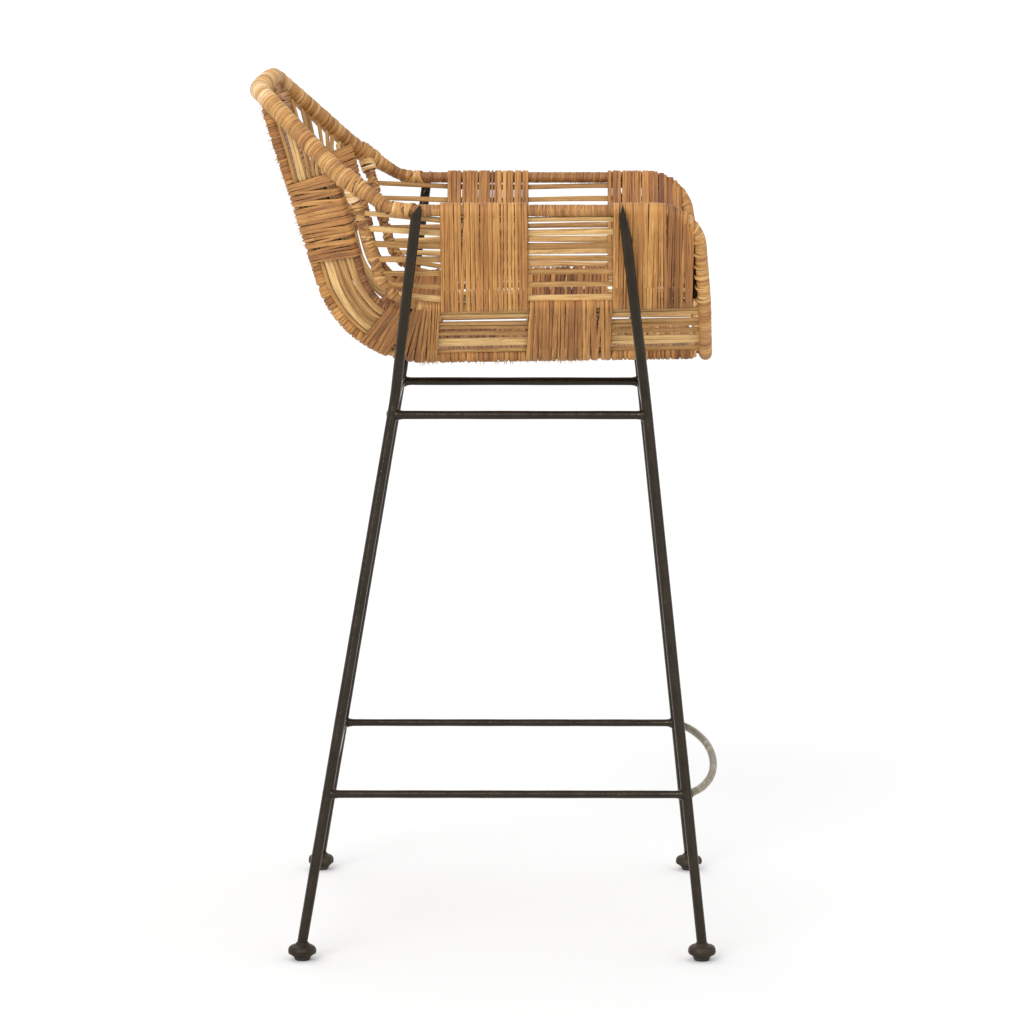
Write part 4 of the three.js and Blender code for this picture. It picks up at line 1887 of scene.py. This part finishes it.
@dataclass
class Weaving:
    """All the woven rows of the shell, with their lashings and frayed ends.

    The arm rods are tied to the corner post one above the other, from the station knot_first on
    over knot_reach stations.
    """

    shop: Paintshop
    skeleton: Skeleton
    rod_start: float = -0.012
    arm_rod_start: float = 0.03
    arm_rods: int = 7
    knot_first: float = 1.58
    knot_reach: float = 1.1
    knot_crossing: float = 0.09
    head_from: float = 2.85
    leg_tie: Place = (0.257, 0.096, 0.8665)
    post_knot: Knot = Knot(spread=0.012, turns=12, lean=0.35)
    leg_knot: Knot = Knot(spread=0.011, turns=8, lean=0.7)
    head_strip: float = 0.0046
    fibre_width: float = 0.0006
    flank_unevenness: float = 0.03
    seeds: dict[str, int] = field(
        default_factory=lambda: {
            "arm": 71, "flank": 81, "wing": 91, "lashings": 101, "fibres": 111, "stay": 121
        }
    )
    # The heights and width of the painted shade strip in the slot by the rim's upright.
    stay_heights: tuple[float, float] = (0.757, 0.85)
    stay_width: float = 0.0095
    stitch_heights: tuple[float, float] = (0.762, 0.846)

    def build(self) -> None:
        """Build and dress every row."""
        bones = self.skeleton
        for side in Side:
            word = f"_{side.word}"
            mid, spine, inner = (route.on(side) for route in (bones.mid, bones.spine, bones.inner))
            wing = WingRoute(mid, spine)
            rail = ArmRail(bones.rim_line(side), mid, bones.rim_slim)
            arm = Row("arm", mid, rail, (0, 2), word, rods=self.arm_rods, rod_width=0.0082)
            flank = Row("flank", spine, wing, (1, 3, 5), word, rods=8, rod_width=0.0072, loose=0.25)
            seat = Row("seat", inner, spine, (0, 2, 4, 6), word, rod_width=0.0125)
            self._arm_rods(arm, mid, side)
            self._flank_rods(flank, side)
            self._seat_rods(seat)
            for row in (arm, flank, seat):
                self._bays(row)
            self._wing_pole(wing, side)
            self._lashings(mid, side)
            self._fray(spine, side)
            self._upright_stay(side)
        left, right = (bones.inner.on(side) for side in (Side.LEFT, Side.RIGHT))
        centre = Row("centre", right, left, (1, 3, 5), "", rod_width=0.0135)
        self._seat_rods(centre)
        self._bays(centre)

    def _draws(self, word: str, side: Side) -> random.Random:
        """The random numbers of one kind of piece on a side."""
        return random.Random(self.seeds[word] + side.value)

    def _bays(self, row: Row) -> None:
        """Wind and dress a row's dense bays.

        Args:
            row: The row.
        """
        for bay in row.dense_bays:
            piece = row.dense_bay(bay, random.Random(f"{row.name}{bay}{row.ending}")).make()
            node = f"{row.name}_wrap_{bay}{row.ending}"
            self.shop.dress(piece, DENSE_CANE, Slot.DENSE_CANE, [node])

    def _dress_rods(self, weave: Weave, row: Row) -> None:
        """Make and dress a row's rods."""
        node = f"{row.name}_rods{row.ending}"
        self.shop.dress(weave.make(), OPEN_CANE, Slot.OPEN_RODS, [node])

    def _arm_rods(self, row: Row, post: PoleRoute, side: Side) -> None:
        """The rods under the arm, which turn in to the corner post.

        Args:
            row: The arm's row.
            post: The corner post.
            side: The side of the stool.
        """
        rng = self._draws("arm", side)
        weave = Weave(f"arm_rods_split_{side.word}")
        end = BAY_ENDS[3]
        stations = steps_between(self.arm_rod_start, end, 14)
        out = row.frame(end, end)[3]
        for share in shares(row.rods):
            last = row.rod_point(share, end)
            knot = post.at(self.knot_first + self.knot_reach * share)
            beyond = knot + (knot - last).normalized() * 0.007
            row.rod(weave, share, stations, rng, [last.lerp(knot, 0.5), knot, beyond], out)
        self._dress_rods(weave, row)

    def _stations(self, *top: tuple[float, float, int]) -> list[float]:
        """The stations of a rod along the seat, round the bend and then over the given runs."""
        runs = ((self.rod_start, 1.0, 10), (1.05, 2.0, 16), *top)
        return [station for run in runs for station in steps_between(*run)]

    def _flank_rods(self, row: Row, side: Side) -> None:
        """The rods of the flank, unevenly spaced, which fan out to the slanted rim.

        Args:
            row: The flank's row.
            side: The side of the stool.
        """
        rng = self._draws("flank", side)
        weave = Weave(f"flank_rods_split_{side.word}")
        shoulder, crown = (place(stop, side) for stop, _ in self.skeleton.rim_corners[4:])
        out = row.frame(3.0, 3.0)[3]
        for even in shares(row.rods):
            share = even + self.flank_unevenness * math.sin(5 * math.pi * even)
            start = row.rod_point(share, 3.0)
            end = crown.lerp(shoulder, 0.18 + 0.82 * share)
            tail = [start.lerp(end, k) for k in (0.3, 0.65, 1.0)]
            row.rod(weave, share, self._stations((2.2, 3.0, 4)), rng, tail, out)
        self._dress_rods(weave, row)

    def _seat_rods(self, row: Row) -> None:
        """The rods of a seat row, from the front rail round the bend to the top rail.

        Args:
            row: The row.
        """
        node = f"{row.name}_rods{row.ending}"
        rng = random.Random(node)
        weave = Weave(f"{node}_split")
        for share in shares(row.rods):
            row.rod(weave, share, self._stations((2.2, 4.0, 8)), rng)
        self._dress_rods(weave, row)

    def _wing_pole(self, wing: WingRoute, side: Side) -> None:
        """The thin bound pole between the flank and the corner post, thinnest where it starts.

        Args:
            wing: The pole's route.
            side: The side of the stool.
        """
        line = Line([wing.at(station) for station in steps_between(1.3, 3.02, 40)])
        weave = Weave(f"wing_pole_binding_{side.word}")
        Binding(pitch=0.0042, sides=10, tone=(0.12, 0.2)).wind(
            weave,
            line,
            lambda d: wing.radius * (0.72 + 0.28 * min(d / line.length * 1.6, 1.0)),
            self._draws("wing", side),
        )
        nodes = [f"wing_pole_{side.word}"]
        self.shop.dress(weave.make(), DENSE_CANE, Slot.WRAPPED_POLE, nodes)

    def _lashings(self, post: PoleRoute, side: Side) -> None:
        """Crossed lashings that hold the arm rods to the corner post, and the knots on the rim.

        Args:
            post: The corner post.
            side: The side of the stool.
        """
        rng = self._draws("lashings", side)
        weave = Weave(f"post_lashings_{side.word}")
        for share in shares(self.arm_rods):
            knot = self.knot_first + self.knot_reach * share
            for station in (knot, knot + self.knot_crossing):
                centre, axis = post.at(station), post.heading(station)
                for lean in (0.5, -0.5, 0.12):
                    radius = post.radius + rng.uniform(0.0002, 0.0011)
                    ring = Ring(centre + axis * rng.uniform(-0.002, 0.002), axis, radius)
                    ring.lay(
                        weave, rng.uniform(0.0028, 0.0042), rng.uniform(0.0, 0.7),
                        lean * rng.uniform(0.7, 1.3), rng.uniform(0, 6.28),
                    )
        self._rim_knot(weave, side, post.at(3.0), self.post_knot, rng)
        self._rim_knot(weave, side, place(self.leg_tie, side), self.leg_knot, rng)
        foot = post.at(self.head_from)
        head = post.at(3.0) - foot
        for share in shares(6):
            swell = 0.0012 + 0.0026 * math.sin(math.pi * (0.25 + 0.5 * share))
            Ring(foot + head * share, head.normalized(), post.radius + swell).lay(
                weave, self.head_strip, rng.uniform(0.6, 0.85),
                rng.uniform(-0.3, 0.3), rng.uniform(0, 6.28),
            )
        self.shop.dress(weave.make(), BINDING_CANE, Slot.WRAPPED_POLE)

    def _rim_knot(
        self, weave: Weave, side: Side, near: Vector, knot: Knot, rng: random.Random
    ) -> None:
        """Heap broad turns of cane on the rim.

        Args:
            weave: The piece that they are added to.
            side: The side of the stool.
            near: The point that the heap is nearest to.
            knot: The heap's size.
            rng: The piece's own random numbers.
        """
        rim = self.skeleton.rim_line(side)
        spot = rim.nearest(lambda point: (point - near).length)
        for share in shares(knot.turns):
            distance = spot + knot.spread * (2 * share - 1)
            centre = rim.at(distance)
            radius = self.skeleton.rim_girth(centre.z) + rng.uniform(0.0003, 0.0013)
            Ring(centre, rim.heading(distance), radius, 16).lay(
                weave, rng.uniform(0.0036, 0.0052), rng.uniform(0.35, 0.7),
                rng.uniform(-knot.lean, knot.lean), rng.uniform(0, 6.28),
            )

    def _fray(self, spine: PoleRoute, side: Side) -> None:
        """Pale fibres that stand out along the bottom of the side and up the rear edge.

        Args:
            spine: The pole that they stand on.
            side: The side of the stool.
        """
        rng = self._draws("fibres", side)
        weave = Weave(f"frayed_fibres_{side.word}")
        shape = StripShape(thickness=0.00022, crown=0.0001)
        runs = ((0.42, 1.05, 90), (2.2, 3.9, 70))
        spots = [rng.uniform(start, stop) for start, stop, count in runs for _ in range(count)]
        for station in spots:
            pole, heading = spine.at(station), spine.heading(station)
            away = pole - BUCKET_MIDDLE
            away.x = side.value * 0.02
            away = (away - heading * away.dot(heading)).normalized()
            reach = rng.uniform(0.002, 0.0065)
            drift = heading * rng.uniform(-1, 1) + Vector((rng.uniform(-1, 1), 0, 0))
            root = pole + away * spine.radius * 1.05
            path = [
                root,
                root + away * reach * 0.5 + drift * reach * 0.15,
                root + away * reach + drift * reach * 0.5,
            ]
            outs = [heading.cross(away).normalized()] * 3
            tone = rng.uniform(0.5, 1.0)
            weave.strip(path, outs, self.fibre_width, tone, shape=shape, taper=(1.0, 0.8, 0.25))
        self.shop.dress(weave.make(), OPEN_CANE, Slot.OPEN_RODS)

    def _upright_stay(self, side: Side) -> None:
        """A nearly black strip of painted shade in the slot between the front bay and the rim's
        upright, and the turns that cross the slot.

        Args:
            side: The side of the stool.
        """
        rng = self._draws("stay", side)
        rim = self.skeleton.rim_line(side)
        upright = [point for point in rim.points if point.y <= 0]
        on_rim = [
            min(upright, key=lambda p, h=height: abs(p.z - h))
            for height in steps_between(*self.stay_heights, 9)
        ]
        out = Vector((side.value, 0.0, -0.5)).normalized()
        inward = Vector((0.0, 0.0102, 0.0)) - out * 0.003
        # A nearly black strip just inside the slot paints the slot's shade.
        weave = Weave(f"upright_stay_{side.word}")
        weave.strip([p + inward for p in on_rim], [out] * len(on_rim), self.stay_width, 0.0)
        self.shop.dress(weave.make(), SLOT_SHADE_CANE, Slot.DENSE_CANE)
        weave = Weave(f"upright_stitches_{side.word}")
        for height in steps_between(*self.stitch_heights, 6):
            height += rng.uniform(-0.002, 0.002)
            distance = rim.nearest(lambda point: abs(point.z - height))
            centre = rim.at(distance) + Vector((0, 0.0012, 0))
            Ring(centre, rim.heading(distance), self.skeleton.rim_slim + 0.0001, 14).lay(
                weave, rng.uniform(0.003, 0.0055), rng.uniform(0.4, 0.7),
                rng.uniform(-0.3, 0.3), rng.uniform(0, 6.28),
            )
        self.shop.dress(weave.make(), BINDING_CANE, Slot.WRAPPED_POLE)


# ---------------------------------------------------------------- the studio


@dataclass
class Studio:
    """A pale floor, soft light, and a camera that sees the stool from its right side.

    A sun's numbers are the direction that it comes from, its width in the sky in degrees, and its
    strength.
    """

    camera_place: Place = (-5.8309, -0.0592, 1.308)
    yaw: float = math.radians(0.321)
    pitch: float = math.radians(8.015)
    lens: float = 174.02
    sensor: float = 36.0
    floor_size: float = 60.0
    floor_tone: float = 0.785
    suns: dict[str, tuple[Place, float, float]] = field(
        default_factory=lambda: {
            "key": ((-0.8, 0.33, 0.5), 38.0, 1.7),
            "fill": ((-0.75, -0.6, 0.25), 50.0, 0.3),
            "back": ((0.6, 0.3, 0.74), 45.0, 0.3),
        }
    )

    def build(self) -> None:
        """Set the camera, the floor, the lights and the surroundings."""
        self._camera()
        self._floor()
        for name, (towards, spread, strength) in self.suns.items():
            self._sun(name, towards, spread, strength)
        world = bpy.data.worlds.new("studio")
        bpy.context.scene.world = world
        world.use_nodes = True
        background = world.node_tree.nodes["Background"]
        background.inputs["Color"].default_value = (1.0, 1.0, 1.0, 1.0)
        background.inputs["Strength"].default_value = 1.0
        bpy.context.scene.view_settings.view_transform = "Standard"

    def _camera(self) -> None:
        """The camera, which looks a little down."""
        camera = bpy.data.objects.new("camera", bpy.data.cameras.new("camera"))
        bpy.context.scene.collection.objects.link(camera)
        camera.data.lens = self.lens
        camera.data.sensor_width = self.sensor
        camera.data.clip_end = self.floor_size
        camera.location = self.camera_place
        level = math.cos(self.pitch)
        ahead = Vector(
            (level * math.cos(self.yaw), level * math.sin(self.yaw), -math.sin(self.pitch))
        )
        camera.rotation_mode = "QUATERNION"
        camera.rotation_quaternion = ahead.to_track_quat("-Z", "Y")
        bpy.context.scene.camera = camera

    def _floor(self) -> None:
        """The floor, plain and without shine."""
        bpy.ops.object.select_all(action="DESELECT")
        bpy.ops.mesh.primitive_plane_add(size=self.floor_size)
        floor = bpy.context.object
        floor.name = "floor"
        material = bpy.data.materials.new("pale_floor")
        material.use_nodes = True
        shader = material.node_tree.nodes["Principled BSDF"]
        shader.inputs["Base Color"].default_value = (*[self.floor_tone] * 3, 1.0)
        shader.inputs["Roughness"].default_value = 0.9
        shader.inputs["Specular IOR Level"].default_value = 0.0
        floor.data.materials.append(material)

    def _sun(self, name: str, towards: Place, spread: float, strength: float) -> None:
        """A broad soft light that is the same all over the floor.

        Args:
            name: The light's name.
            towards: The direction that it comes from.
            spread: How wide it is in the sky, in degrees.
            strength: Its strength.
        """
        light = bpy.data.objects.new(name, bpy.data.lights.new(name, "SUN"))
        bpy.context.scene.collection.objects.link(light)
        light.data.angle = math.radians(spread)
        light.data.energy = strength
        light.rotation_mode = "QUATERNION"
        light.rotation_quaternion = Vector(towards).to_track_quat("Z", "Y")


def main() -> None:
    """Build the stool's looks, in order."""
    logging.basicConfig(level=logging.INFO, format="%(name)s: %(message)s")
    shop = Paintshop()
    SteelFrame(shop).build()
    skeleton = Skeleton(shop)
    skeleton.build()
    Weaving(shop, skeleton).build()
    Studio().build()


if __name__ == "__main__":
    main()
